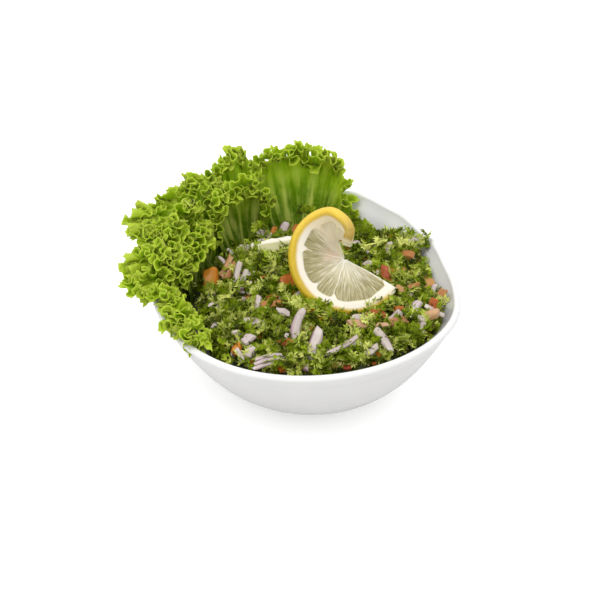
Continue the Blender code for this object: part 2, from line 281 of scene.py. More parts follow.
heap_mesh = frame["nodes"]["tabbouleh"].data
heap = BVHTree.FromPolygons(
    [vertex.co.copy() for vertex in heap_mesh.vertices],
    [tuple(face.vertices) for face in heap_mesh.polygons],
)
heap_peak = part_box("tabbouleh")[1].z


def heap_top(x, y):
    """Height of the heap's top at one place, or None beside the heap."""
    spot, slope = heap.ray_cast(Vector((x, y, heap_peak + 0.02)), Vector((0, 0, -1)))[:2]
    if spot is None or slope.z < TOP_FLATNESS or spot.z < heap_peak - TOP_FALL:
        return None
    return spot.z


def heap_edge(azimuth):
    """Radius where the heap's top ends, looking along one azimuth."""
    a = math.radians(azimuth)
    for radius in np.arange(TOP_REACH[1], TOP_REACH[0], -TOP_STEP):
        if heap_top(radius * math.cos(a), radius * math.sin(a)) is not None:
            return radius
    return TOP_REACH[0]


def lumps(x, y, size):
    """Uneven relief, from -1 to 1, with bumps of about the given size."""
    k = 2 * math.pi / size
    relief = np.sin(k * x + 1.3 + 1.9 * np.sin(k * 0.37 * y))
    return relief * np.sin(k * 0.93 * y + 0.4 + 1.7 * np.sin(k * 0.41 * x + 2.0))


turns = np.linspace(0, 360, HEART_SECTORS, endpoint=False)
edges = np.array([heap_edge(azimuth) for azimuth in turns])
edges = np.minimum(edges, (np.roll(edges, 1) + np.roll(edges, -1)) / 2 + 0.0006)
shares = np.linspace(0, 1, HEART_RINGS)
top = np.zeros((HEART_RINGS, HEART_SECTORS, 3))
for column, azimuth in enumerate(turns):
    a = math.radians(azimuth)
    for row, share in enumerate(shares):
        x, y = edges[column] * share * math.cos(a), edges[column] * share * math.sin(a)
        height = heap_top(x, y)
        top[row, column] = (x, y, top[row - 1, column, 2] if height is None else height)
heart_grid = top.copy()
relief = lumps(top[..., 0], top[..., 1], LUMP_SIZE)
relief = relief + CRUMB_SHARE * lumps(top[..., 0], top[..., 1], CRUMB_SIZE)
heart_grid[..., 2] += -HEART_DEPTH + HEART_RELIEF * relief
heart_grid[..., :2] *= HEART_INSET
skirt = heart_grid[-1:].repeat(3, axis=0)
skirt[0, :, 2] -= SKIRT_DROP
skirt[0, :, :2] *= SKIRT_INSET
skirt[1, :, 2] = BASE_HEIGHT
skirt[1, :, :2] *= BASE_SHARE
skirt[2] = (0.0, 0.0, BOTTOM_HEIGHT)
heart_mesh = grid_mesh("packed_mix", np.concatenate((heart_grid, skirt)), wrap_across=True)
close_outward(heart_mesh)

mix, tree, shader = new_finish("packed_mix", {"Roughness": 0.55})
crumbs = node_of(tree, "ShaderNodeTexVoronoi", {"Vector": object_place(tree), "Scale": 420.0})
crumb_share = node_of(tree, "ShaderNodeSeparateColor", {"Color": crumbs.outputs["Color"]})
# Painted shade: the whole mix is tinted near black, for the shade deep among the loose pieces
tint = tinted(tree, crumb_share.outputs["Red"], (
    (0.0, (0.006, 0.014, 0.0015)), (0.45, (0.018, 0.040, 0.003)),
    (0.93, (0.060, 0.060, 0.018)), (1.0, (0.050, 0.100, 0.008)),
))
give(tree, shader.inputs["Base Color"], tint)
make_uneven(tree, shader, crumbs.outputs["Distance"], 0.8, 0.0012)

heart = new_piece("packed_mix", heart_mesh, mix)
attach(heart, "root")
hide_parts("tabbouleh")


# ------------------------------------------------------------------------------
# Lemon slice. One round of lemon cut to its middle and twisted so that it stands on its
# rind: yellow zest, thick white pith, and pale wet segments between thin white skins.
# ------------------------------------------------------------------------------
LEMON_RADIUS = 0.0274
LEMON_THICK = 0.0043
LEMON_HUB = (0.0175, -0.0091, 0.0666)
LEMON_HOLE = 0.0005
LEMON_VIEW_TILT = 35.0
LEMON_COLUMNS = 280
LEMON_ROWS = 46
PATH_STEPS = 24
# The slice is thin at its middle and full at this radius
LEMON_FULL_AT = 0.0125
LEMON_THIN = 0.10
RIND_ROUND = 0.0013
RIND_BULGE = 0.0003
RIND_POINTS = 13
# The flesh is torn off at this turn, and the rind runs on to the end of the curl: as shares
# of the slice's radius, where the tear starts to slant, over how much, and the rind's set-back
TORN_TURN = 205.0
TORN_FROM = 0.34
TORN_OVER = 0.30
TORN_RIND_FROM = 0.88
TORN_RIND_BACK = 0.20
# Pith: its inner edge as a share of the radius, and how far it reaches in at each skin
PITH_EDGE = 0.806
PITH_REACH = 0.075
PITH_REACH_WIDTH = 1.1
FLESH_SUNK = 0.00025
SEGMENT_SWELL = 0.00016
# Where the looks change round the slice, in radians from its first cut
# On this span the flesh is painted paler and creamier as painted light, and the pith is tinted warmer
TURNED_UP = (2.95, 3.40)
LIT_RIND = (2.55, 3.15)
DULL_END = (3.85, 4.40)
# Thin skins between the segments: degrees of turn from the first cut
SEGMENT_SKINS = (1, 77, 104, 153, 190, 224, 262)
# Direction of the rind seen from the hub, along the curl: right, up, forward
LEMON_CURL = (
    (0.85, -0.52, 0.05),
    (0.53, -0.82, 0.22),
    (-0.02, -0.92, 0.38),
    (-0.64, -0.64, 0.42),
    (-0.92, 0.00, 0.38),
    (-0.76, 0.54, 0.36),
    (-0.34, 0.80, 0.50),
    (-0.07, 0.67, 0.74),
    (0.05, 0.46, 0.885),
    (0.00, 0.29, 0.957),
)


def lengths_along(path):
    """Length of a path up to each of its points."""
    steps = np.linalg.norm(np.diff(path, axis=0), axis=1)
    return np.concatenate(([0.0], np.cumsum(steps)))


def smooth_path(points, count):
    """Even samples on a smooth path through the points."""
    points = np.array(points, float)
    ends = (2 * points[0] - points[1], 2 * points[-1] - points[-2])
    padded = np.vstack((ends[0], points, ends[1]))
    dense = []
    for k in range(len(points) - 1):
        p0, p1, p2, p3 = padded[k : k + 4]
        for t in np.linspace(0, 1, PATH_STEPS, endpoint=k == len(points) - 2):
            bend = 2 * p0 - 5 * p1 + 4 * p2 - p3
            twist = 3 * p1 - p0 - 3 * p2 + p3
            dense.append(p1 + 0.5 * t * (p2 - p0 + t * (bend + t * twist)))
    dense = np.array(dense)
    along = lengths_along(dense)
    places = np.linspace(0, along[-1], count)
    return np.stack([np.interp(places, along, dense[:, k]) for k in range(3)], 1)


def set_layer(mesh, name, values):
    """Give each vertex of the mesh its own value under one name."""
    layer = mesh.attributes.new(name, "FLOAT", "POINT")
    layer.data.foreach_set("value", np.asarray(values, np.float32).ravel())


tilt = math.radians(LEMON_VIEW_TILT)
rise = np.array((0.0, math.sin(tilt), math.cos(tilt)))
near = np.array((0.0, -math.cos(tilt), math.sin(tilt)))
rays = [np.array((r, 0.0, 0.0)) + rise * u + near * f for r, u, f in LEMON_CURL]
rays = smooth_path([ray / np.linalg.norm(ray) for ray in rays], LEMON_COLUMNS)
rays /= np.linalg.norm(rays, axis=1, keepdims=True)
sweep = np.degrees(lengths_along(rays))
square = np.cross(np.gradient(rays, axis=0), rays)
square /= np.linalg.norm(square, axis=1, keepdims=True)
radii = np.linspace(LEMON_HOLE, LEMON_RADIUS - RIND_ROUND, LEMON_ROWS)
fullness = np.clip((radii - LEMON_HOLE) / LEMON_FULL_AT, 0, 1)
half = LEMON_THICK / 2 * (LEMON_THIN + (1 - LEMON_THIN) * fullness)
section = list(zip(radii, half))
flat = LEMON_THICK / 2 - RIND_ROUND
for angle in np.radians(np.linspace(82, -82, RIND_POINTS)):
    high = math.copysign(flat, angle) if abs(angle) > 0.01 else 0.0
    bulge = RIND_ROUND * math.cos(angle) + RIND_BULGE * math.cos(angle) ** 2
    section.append((LEMON_RADIUS - RIND_ROUND + bulge, high + RIND_ROUND * math.sin(angle)))
section += list(zip(radii[::-1], -half[::-1]))
section = np.array(section)
share = np.linspace(0, 1, LEMON_COLUMNS)
torn = np.clip((section[:, 0] / LEMON_RADIUS - TORN_FROM) / TORN_OVER, 0, 1) ** 1.2
rind_share = np.clip((section[:, 0] / LEMON_RADIUS - TORN_RIND_FROM) / (1 - TORN_RIND_FROM), 0, 1)
torn = torn - TORN_RIND_BACK * rind_share ** 2
last_turn = TORN_TURN + (sweep[-1] - TORN_TURN) * torn
turns = share[None] * last_turn[:, None]
ray_at = np.stack([np.interp(turns, sweep, rays[:, k]) for k in range(3)], 2)
square_at = np.stack([np.interp(turns, sweep, square[:, k]) for k in range(3)], 2)
to_skin = np.full(turns.shape, 9.0)
for number, skin in enumerate(SEGMENT_SKINS):
    wave = 1.2 * np.sin(section[:, :1] * 700 + number * 2.1) * (number > 0)
    away = np.abs(turns - skin - wave) * section[:, :1] * 1000 * math.pi / 180
    to_skin = np.minimum(to_skin, away)
pith_edge = PITH_EDGE - PITH_REACH * np.exp(-((to_skin / PITH_REACH_WIDTH) ** 2))
pith_edge = pith_edge + 0.008 * np.sin(turns * 0.21 + 1)
reach = np.repeat(section[:, :1] / LEMON_RADIUS, LEMON_COLUMNS, 1)
plump = np.clip((pith_edge - reach) / 0.04, 0, 1) * np.clip(to_skin / 0.5, 0, 1)
side_up = np.sign(section[:, 1:]) * (np.abs(section[:, 1:]) > 0.0002)
relief = -FLESH_SUNK * np.clip((pith_edge - reach) / 0.03, 0, 1) + SEGMENT_SWELL * plump
high = section[:, 1:] + side_up * relief * np.clip(reach / 0.2, 0, 1)
lemon_grid = np.array(LEMON_HUB) + section[:, :1, None] * ray_at + high[..., None] * square_at
lemon_mesh = grid_mesh("lemon_slice", lemon_grid, wrap_down=True)
set_layer(lemon_mesh, "reach", reach)
set_layer(lemon_mesh, "sweep", np.radians(turns))
set_layer(lemon_mesh, "to_skin", to_skin)
set_layer(lemon_mesh, "from_pith", pith_edge - reach)
on_rind = (np.abs(section[:, 1]) < LEMON_THICK / 2 - 0.0002) & (section[:, 0] > LEMON_RADIUS * 0.945)
set_layer(lemon_mesh, "zest", np.repeat(on_rind[:, None].astype(float), LEMON_COLUMNS, 1))
# Both cut ends are closed by strips from the one face of the slice to the other
work = bmesh.new()
work.from_mesh(lemon_mesh)
work.verts.ensure_lookup_table()
for column in (0, LEMON_COLUMNS - 1):
    outline = [work.verts[row * LEMON_COLUMNS + column] for row in range(len(section))]
    for k in range(len(outline) // 2):
        corners = (outline[k], outline[k + 1], outline[-2 - k], outline[-1 - k])
        work.faces.new(list(dict.fromkeys(corners)))
bmesh.ops.recalc_face_normals(work, faces=work.faces)
work.to_mesh(lemon_mesh)
work.free()


def sum_of(tree, operation, *values):
    """One sum in a node tree, of sockets and numbers."""
    return node_of(tree, "ShaderNodeMath", dict(enumerate(values)), operation=operation).outputs[0]


def times(tree, first, second):
    """Product of two sockets, or of a socket and a number."""
    return sum_of(tree, "MULTIPLY", first, second)


def scaled(tree, value, factor, added):
    """A value times a factor, with something added."""
    return sum_of(tree, "MULTIPLY_ADD", value, factor, added)


def read_layer(tree, name):
    """The value that each vertex of a piece carries under one name."""
    return node_of(tree, "ShaderNodeAttribute", {}, attribute_name=name).outputs["Fac"]


def step_mask(tree, value, low, high):
    """Runs smoothly from 0 at the low value to 1 at the high one."""
    given = {"Value": value, "From Min": low, "From Max": high}
    return node_of(tree, "ShaderNodeMapRange", given, interpolation_type="SMOOTHSTEP").outputs["Result"]


def blend_colours(tree, share, first, second):
    """Mixes two colours, each a socket or a plain colour, by a share."""
    return node_of(tree, "ShaderNodeMix", {0: share, 6: first, 7: second}, data_type="RGBA").outputs[2]


def lemon_flesh(tree, reach, sweep, streaks):
    """Pale wet flesh, streaked from the middle out, with painted light where the slice is turned up and a
    pinkish painted highlight near the middle.
    """
    # Painted light: where the slice is turned up, its flesh is made paler and creamier
    painted_light_turned_up = step_mask(tree, sweep, *TURNED_UP)
    paleness = scaled(tree, reach, -0.50, streaks)
    paleness = scaled(tree, painted_light_turned_up, 0.28, paleness)
    flesh = tinted(tree, sum_of(tree, "ADD", paleness, 0.28), (
        (0.30, (0.27, 0.23, 0.08)), (0.5, (0.46, 0.41, 0.22)), (0.75, (0.84, 0.78, 0.62)),
    ))
    flesh = blend_colours(tree, times(tree, painted_light_turned_up, 0.45), flesh, (0.84, 0.72, 0.46))
    # A pinkish painted highlight on the flesh near the middle, over part of the slice's turn
    pink_painted_highlight = times(tree, step_mask(tree, sweep, 2.1, 2.6), step_mask(tree, sweep, 3.2, 2.8))
    pink_painted_highlight = times(tree, pink_painted_highlight, step_mask(tree, reach, 0.55, 0.25))
    return blend_colours(tree, times(tree, pink_painted_highlight, 0.7), flesh, (0.80, 0.58, 0.42))


def lemon_pith(tree, sweep, cloud):
    """Thick white pith, warmer where the slice is turned up."""
    pith = blend_colours(tree, cloud, (0.86, 0.79, 0.64), (0.94, 0.88, 0.78))
    warmer = times(tree, step_mask(tree, sweep, *TURNED_UP), 0.8)
    return blend_colours(tree, warmer, pith, (0.88, 0.76, 0.50))


def lemon_zest(tree, sweep, cloud):
    """Yellow zest: speckled, brighter where it faces the light and dull at its last end."""
    lit = step_mask(tree, sweep, *LIT_RIND)
    zest = blend_colours(tree, lit, (0.53, 0.375, 0.012), (0.75, 0.53, 0.058))
    zest = blend_colours(tree, times(tree, cloud, 0.6), zest, (0.84, 0.58, 0.024))
    dull_end = times(tree, step_mask(tree, sweep, *DULL_END), 0.80)
    return blend_colours(tree, dull_end, zest, (0.34, 0.23, 0.045))


lemon_finish, tree, shader = new_finish("lemon_flesh_and_rind", {
    "Subsurface Weight": 0.35, "Subsurface Radius": (0.0030, 0.0024, 0.0012), "Subsurface Scale": 1.0,
})
reach_value = read_layer(tree, "reach")
sweep_value = read_layer(tree, "sweep")
place = object_place(tree)
cloud = cloudy(tree, place, 160.0, 2.0)
drift = sum_of(tree, "SUBTRACT", cloud, 0.5)
in_segment = step_mask(tree, scaled(tree, drift, 0.5, read_layer(tree, "to_skin")), 0.0, 0.38)
in_flesh = step_mask(tree, scaled(tree, drift, 0.03, read_layer(tree, "from_pith")), -0.008, 0.022)
flesh_share = times(tree, times(tree, in_segment, in_flesh), step_mask(tree, reach_value, 0.02, 0.10))
# Streaks run along the radius: many round the slice, few from its middle out
streak_place = {"X": times(tree, sweep_value, 26.0), "Y": times(tree, reach_value, 4.5)}
streak_place = node_of(tree, "ShaderNodeCombineXYZ", streak_place)
streaks = {"Vector": streak_place.outputs["Vector"], "Scale": 1.0, "Detail": 3.0, "Roughness": 0.6}
streaks = node_of(tree, "ShaderNodeTexNoise", streaks).outputs["Fac"]
flesh = lemon_flesh(tree, reach_value, sweep_value, streaks)
inside = blend_colours(tree, flesh_share, lemon_pith(tree, sweep_value, cloud), flesh)
zest_depth = scaled(tree, step_mask(tree, sweep_value, 1.0, 2.3), 0.018, reach_value)
zest_edge = step_mask(tree, scaled(tree, drift, 0.03, zest_depth), 0.895, 0.965)
zest_share = sum_of(tree, "MAXIMUM", zest_edge, read_layer(tree, "zest"))
from_cut = scaled(tree, step_mask(tree, sweep_value, 0.06, 0.30), 0.85, 0.15)
zest_share = times(tree, zest_share, from_cut)
tint = blend_colours(tree, zest_share, inside, lemon_zest(tree, sweep_value, cloud))
give(tree, shader.inputs["Base Color"], tint)
wet = scaled(tree, flesh_share, -0.28, 0.50)
give(tree, shader.inputs["Roughness"], scaled(tree, zest_share, -0.12, wet))
pores = node_of(tree, "ShaderNodeTexVoronoi", {"Vector": place, "Scale": 900.0})
height = times(tree, times(tree, streaks, flesh_share), 0.8)
height = scaled(tree, flesh_share, -0.5, height)
dimples = times(tree, times(tree, pores.outputs["Distance"], zest_share), 0.5)
make_uneven(tree, shader, sum_of(tree, "ADD", height, dimples), 0.7, 0.0005)

lemon = new_piece("lemon_slice_curled", lemon_mesh, lemon_finish)
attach(lemon, "root")
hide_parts("lemon_slice")


# ------------------------------------------------------------------------------
# Lettuce. Eight frilled leaves tucked between the heap and the bowl's wall. Each grows from
# a pale pleated foot to a thin margin that is far longer than the leaf, so it buckles into
# cups, which lean over towards the front, and its very edge is toothed.
# ------------------------------------------------------------------------------
LEAF_THICK = 0.00032
LEAF_COLUMNS = 620
LEAF_ROWS = 26
BAND_ROWS = 11
OVERHANG_FROM = 0.062
OVERHANG_FULL = 0.084
RUFFLE_FADE = 0.18
TOOTH = 0.0016
TOOTH_SPACING = 0.0025
# Ruffles: length and swing of a wave, how far it curls over, where on the way to the margin it
# starts and how it grows. A leaf has pleats, frills and fine frills, and a fold has cups.
PLEATS = (0.0120, 0.0010, 0.0, 0.10, 0.8)
FRILLS = (0.0135, 0.0034, 0.0018, 0.62, 1.1)
FINE_FRILLS = (0.0078, 0.0024, 0.0014, 0.78, 0.9)
CUPS = (0.0170, 0.0046, 0.0026, 0.0, 0.75)
FINE_CUPS = (0.0078, 0.0019, 0.0010, 0.15, 1.1)
END_CALM = 0.006
# A fold has a column to each step of its length, within these limits
FOLD_STEP = 0.00020
FOLD_COLUMNS = (150, 420)
FOLD_KNOT = 14
FOLD_SUNK = 0.002
# A fold is coloured like the part of the leaf above this share of its height
FOLD_TINT_FROM = 0.66
# Each leaf as its solid has it (root ends and margin as azimuth, radius, height; belly outward
# and upward; length, depth and phase of its great ruffles), then how far its margin leans
# forward, how far its two ends splay, how much of them stays calm, and the frilled folds that
# stand on its face: how far up the leaf, from and to along it, height; and those that run up
# its side edges: how far along the leaf, from and to up it, height.
LETTUCE = {
    "leaf_back": dict(
        root=((110, 0.0560, 0.030), (77, 0.0560, 0.030)),
        margin=(
            (113, 0.0605, 0.050), (114, 0.0670, 0.066), (108, 0.0735, 0.080),
            (98, 0.0750, 0.0835), (88, 0.0745, 0.0825), (79, 0.0740, 0.0785),
            (72, 0.0690, 0.065), (70, 0.0625, 0.051),
        ),
        belly=(0.0010, 0.0), length=0.0170, depth=0.0024, phase=0.4,
        lean=0.0060, folds=((0.90, 0.20, 0.80, 0.0080),),
    ),
    "leaf_tall": dict(
        root=((131, 0.0590, 0.031), (113, 0.0590, 0.031)),
        margin=(
            (132, 0.0650, 0.054), (130, 0.0740, 0.068), (124, 0.0790, 0.078),
            (117, 0.0790, 0.084), (112, 0.0775, 0.077), (110, 0.0730, 0.063),
        ),
        belly=(0.0010, 0.0), length=0.0190, depth=0.0022, phase=1.9,
        lean=0.0050, folds=((0.92, 0.15, 0.75, 0.0070),),
    ),
    "leaf_front": dict(
        root=((136, 0.0555, 0.032), (114, 0.0555, 0.032)),
        margin=(
            (141, 0.0570, 0.049), (139, 0.0620, 0.062), (131, 0.0640, 0.071),
            (121, 0.0620, 0.072), (112, 0.0590, 0.070), (109, 0.0555, 0.056),
        ),
        belly=(0.0, 0.0), length=0.0150, depth=0.0018, phase=0.0,
        lean=0.0060, folds=((0.90, 0.10, 0.85, 0.0070),),
    ),
    "leaf_upper_left": dict(
        root=((158, 0.0588, 0.031), (136, 0.0590, 0.031)),
        margin=(
            (165, 0.0870, 0.061), (160, 0.0915, 0.062), (152, 0.0910, 0.0635),
            (144, 0.0870, 0.067), (137, 0.0820, 0.0725), (132, 0.0775, 0.077),
        ),
        belly=(-0.0090, 0.0160), length=0.0160, depth=0.0024, phase=0.9,
        lean=0.0040, splay=(0.0016, 0.0), calm=0.020,
        folds=(
            (0.60, 0.0, 1.0, 0.0090), (0.80, 0.0, 1.0, 0.0072), (0.93, 0.60, 0.90, 0.0045),
            (0.70, 0.0, 0.34, 0.0060), (0.92, 0.0, 0.45, 0.0062), (0.86, 0.66, 1.0, 0.0050),
        ),
        sides=((0.01, 0.40, 1.0, 0.0056), (0.05, 0.55, 1.0, 0.0052), (0.10, 0.60, 1.0, 0.0046)),
    ),
    "leaf_middle_left": dict(
        root=((181, 0.0566, 0.031), (144, 0.0566, 0.031)),
        margin=(
            (187, 0.0610, 0.054), (181, 0.0655, 0.062), (172, 0.0665, 0.068),
            (162, 0.0665, 0.071), (151, 0.0665, 0.073), (144, 0.0640, 0.066),
        ),
        belly=(-0.0020, 0.0), length=0.0150, depth=0.0018, phase=0.2,
        lean=0.0060, folds=((0.70, 0.0, 1.0, 0.0085), (0.90, 0.0, 1.0, 0.0085)),
    ),
    "leaf_left": dict(
        root=((188, 0.0582, 0.031), (166, 0.0588, 0.031)),
        margin=(
            (196, 0.0730, 0.0535), (189, 0.0785, 0.0530), (181, 0.0825, 0.0530),
            (174, 0.0840, 0.0540), (168, 0.0840, 0.0565),
        ),
        belly=(-0.0078, 0.0160), length=0.0160, depth=0.0024, phase=2.2,
        lean=0.0040, splay=(0.0, 0.0030), calm=0.014,
        folds=((0.58, 0.0, 1.0, 0.0090), (0.80, 0.0, 1.0, 0.0085), (0.97, 0.0, 1.0, 0.0060)),
        sides=((0.99, 0.40, 1.0, 0.0052), (0.94, 0.55, 1.0, 0.0050)),
    ),
    "leaf_inner_left": dict(
        root=((180, 0.0550, 0.033), (148, 0.0550, 0.033)),
        margin=(
            (184, 0.0560, 0.050), (177, 0.0580, 0.058), (167, 0.0560, 0.062),
            (156, 0.0550, 0.064), (149, 0.0540, 0.062), (146, 0.0530, 0.052),
        ),
        belly=(0.0, 0.0), length=0.0150, depth=0.0018, phase=1.2,
        lean=0.0060, folds=((0.85, 0.0, 0.9, 0.0080),),
    ),
    "leaf_lower_left": dict(
        root=((214, 0.0562, 0.0345), (191, 0.0555, 0.033)),
        margin=(
            (230, 0.0645, 0.0495), (223, 0.0665, 0.0500), (214, 0.0685, 0.0520),
            (206, 0.0690, 0.0545), (199, 0.0675, 0.056), (193, 0.0635, 0.055),
        ),
        belly=(0.0, 0.0), length=0.0150, depth=0.0018, phase=0.3,
        lean=0.0060, folds=((0.60, 0.0, 1.0, 0.0080), (0.85, 0.0, 1.0, 0.0080)),
    ),
}
TOWARDS_FRONT = np.array((0.0, -0.72, 0.69))


def at(azimuth, radius, z):
    """Place at an azimuth in degrees and a radius round the bowl's middle."""
    a = math.radians(azimuth)
    return (radius * math.cos(a), radius * math.sin(a), z)


def unit(vectors):
    """The same directions, each one long."""
    return vectors / np.maximum(np.linalg.norm(vectors, axis=-1, keepdims=True), 1e-9)


def uneven_wave(along, spacing, seed):
    """Wandering value from about -1 to 1 that changes over the given spacing."""
    dice = np.random.default_rng(seed)
    total = np.zeros_like(along)
    for share in (1.0, 0.62, 0.41):
        total += np.sin(2 * math.pi * along / (spacing / share) + dice.uniform(0, 6.28))
    return total / 2.2


def leaf_face(leaf, columns, rows):
    """Plain middle surface of a leaf, from its root row to its margin row."""
    margin = smooth_path([at(*point) for point in leaf["margin"]], columns)
    start, end = leaf["root"]
    share = np.linspace(0, 1, columns)[:, None]
    places = np.array(start) * (1 - share) + np.array(end) * share
    root = np.array([at(*point) for point in places])
    outward = unit(root * (1, 1, 0))
    overhang = np.linalg.norm(margin[:, :2], axis=1, keepdims=True) - OVERHANG_FROM
    overhang = np.clip(overhang / (OVERHANG_FULL - OVERHANG_FROM), 0, 1)
    out, up = leaf["belly"]
    belly = (root + margin) / 2 + (outward * out + np.array((0.0, 0.0, up))) * overhang
    t = np.linspace(0, 1, rows)[:, None, None]
    return (1 - t) ** 2 * root + 2 * t * (1 - t) * belly + t ** 2 * margin


def front_of(grid):
    """Directions across, and square to, a surface, the second towards the front."""
    across = unit(np.gradient(grid, axis=1))
    square = unit(np.cross(across, np.gradient(grid, axis=0)))
    if (square.reshape(-1, 3) @ TOWARDS_FRONT).mean() < 0:
        square = -square
    return across, square


def ruffle(grid, ruffles, seed, calm=END_CALM):
    """Throws a surface into waves that grow towards its margin and fold over themselves."""
    wave, swing, curl, start, grow = ruffles
    along = lengths_along(grid[-1])
    phase = 2 * math.pi * along / wave + 1.1 * uneven_wave(along, wave * 3.1, seed) + seed
    strength = 1 + 0.35 * uneven_wave(along, wave * 2.3, seed + 7)
    ends = np.clip(np.minimum(along, along[-1] - along) / calm, 0, 1)
    share = np.clip((np.linspace(0, 1, len(grid)) - start) / (1 - start), 0, 1) ** grow
    across, square = front_of(grid)
    push = (share[:, None] * (strength * ends)[None])[..., None]
    moved = grid + square * swing * push * np.sin(phase)[None, :, None]
    return moved - across * curl * push * np.sin(2 * phase)[None, :, None]


def toothed(grid, seed):
    """Cuts the margin into small uneven teeth."""
    along = lengths_along(grid[-1])
    drift = 1.4 * uneven_wave(along, 0.009, seed)
    saw = 1 - np.abs(np.sin(math.pi * along / TOOTH_SPACING + drift))
    saw = saw * (0.7 + 0.5 * uneven_wave(along, 0.005, seed + 3))
    outward = unit(grid[-1] - grid[-3])
    grid = grid.copy()
    grid[-1] += outward * (TOOTH * saw)[:, None]
    grid[-2] += outward * (0.35 * TOOTH * saw)[:, None]
    return grid


def frilled_fold(face, fold, seed):
    """Strip of margin folded forward, standing on the face of a leaf in tight cups."""
    level, first, last, height = fold
    rows, columns = face.shape[:2]
    margin_length = lengths_along(face[-1])[-1]
    count = int(np.clip((last - first) * margin_length / FOLD_STEP, *FOLD_COLUMNS))
    places = np.linspace(first, last, count) * (columns - 1)
    wander = 0.09 * uneven_wave(np.linspace(0, 0.08, count), 0.034, seed + 9)
    level = np.clip(level + wander, 0, 1) * (rows - 1)
    square = front_of(face)[1]
    low = np.minimum(level.astype(int), rows - 2)
    mix = (level - low)[:, None]
    column = places.astype(int)
    foot = face[low, column] * (1 - mix) + face[low + 1, column] * mix
    square = unit(square[low, column])
    knots = count // FOLD_KNOT
    foot = smooth_path(foot[::knots], count)
    square = smooth_path(square[::knots], count)
    outward = unit(foot * (1, 1, 0))
    stand = unit(square * 0.70 + outward * 0.15 + np.array((0.0, -0.35, 0.55)))
    ends = np.sin(np.linspace(0, math.pi, count)) ** 0.35
    t = np.linspace(0, 1, BAND_ROWS)[:, None, None]
    along = lengths_along(foot)
    tall = height * (1 + 0.22 * uneven_wave(along, 0.021, seed + 4)) * ends
    sunk = foot - square * FOLD_SUNK
    strip = sunk[None] + stand[None] * t * tall[None, :, None]
    strip = ruffle(strip, CUPS, seed)
    strip = ruffle(strip, FINE_CUPS, seed + 1)
    return toothed(strip, seed + 2)


def leaf_sheets(leaf, seed):
    """The ruffled leaf and its frilled folds, each with how far up the leaf its rows are."""
    face = leaf_face(leaf, LEAF_COLUMNS, LEAF_ROWS)
    along = lengths_along(face[-1])
    share = np.linspace(0, 1, LEAF_COLUMNS)
    fade = np.clip(np.minimum(share, 1 - share) / RUFFLE_FADE, 0, 1)
    up_leaf = np.linspace(0, 1, LEAF_ROWS)
    across = unit(np.gradient(face, axis=1))
    square = unit(np.cross(across, np.gradient(face, axis=0)))
    wave = np.sin(2 * math.pi * along / leaf["length"] + leaf["phase"])
    grown = np.clip((up_leaf - 0.30) / 0.70, 0, 1) ** 1.2
    face = face + square * leaf["depth"] * (grown[:, None] * (fade * wave)[None])[..., None]
    start_splay, end_splay = leaf.get("splay", (0.0, 0.0))
    near_start = np.clip(1 - 2 * share, 0, 1) ** 3
    near_end = np.clip(2 * share - 1, 0, 1) ** 3
    fanned = near_end * end_splay - near_start * start_splay
    face = face + across * fanned[None, :, None] * (up_leaf ** 1.5)[:, None, None]
    lean = leaf["lean"] * (np.clip((up_leaf - 0.72) / 0.28, 0, 1) ** 2)[:, None, None]
    face = face + TOWARDS_FRONT * (1, 1, -0.4) * lean
    sheet = ruffle(face, PLEATS, seed + 2)
    sheet = ruffle(sheet, FRILLS, seed, leaf.get("calm", END_CALM))
    sheet = ruffle(sheet, FINE_FRILLS, seed + 1)
    sheets = [(toothed(sheet, seed + 3), up_leaf)]
    turned_face = face.transpose(1, 0, 2)
    for stands_on, folds, salt in ((face, leaf["folds"], 20), (turned_face, leaf.get("sides", ()), 60)):
        for number, fold in enumerate(folds):
            strip = frilled_fold(stands_on, fold, seed + salt + 5 * number)
            sheets.append((strip, np.linspace(FOLD_TINT_FROM, 1, BAND_ROWS)))
    return sheets


def leaf_mesh(name, sheets):
    """One mesh of all the sheets of a leaf, with a map of how far along and up it they lie."""
    work = bmesh.new()
    layer = work.loops.layers.uv.new("leaf_map")
    for grid, up_leaf in sheets:
        rows, columns = grid.shape[:2]
        along = lengths_along(grid[-1]) / 0.1
        points = [[work.verts.new(grid[r, c]) for c in range(columns)] for r in range(rows)]
        for r in range(rows - 1):
            for c in range(columns - 1):
                corners = ((r, c), (r, c + 1), (r + 1, c + 1), (r + 1, c))
                face = work.faces.new([points[i][j] for i, j in corners])
                face.smooth = True
                for loop, (i, j) in zip(face.loops, corners):
                    loop[layer].uv = (along[j], up_leaf[i])
    mesh = bpy.data.meshes.new(name)
    work.to_mesh(mesh)
    work.free()
    return mesh


def made_solid(piece, thickness):
    """Gives a sheet its thickness and returns it as a plain closed piece."""
    solid = piece.modifiers.new("thickness", "SOLIDIFY")
    solid.thickness = thickness
    solid.offset = 0.0
    bpy.context.view_layer.update()
    graph = bpy.context.evaluated_depsgraph_get()
    mesh = bpy.data.meshes.new_from_object(piece.evaluated_get(graph))
    piece.modifiers.clear()
    old = piece.data
    piece.data = mesh
    bpy.data.meshes.remove(old)
    mesh.name = piece.name
    return piece


def shader_group(name, inputs, outputs):
    """New node group with named sockets: the group, what it is given and its result."""
    group = bpy.data.node_groups.new(name, "ShaderNodeTree")
    for side, sockets in (("INPUT", inputs), ("OUTPUT", outputs)):
        for label, kind in sockets.items():
            group.interface.new_socket(label, in_out=side, socket_type=kind)
    given = group.nodes.new("NodeGroupInput").outputs
    result = group.nodes.new("NodeGroupOutput").inputs
    return group, given, result


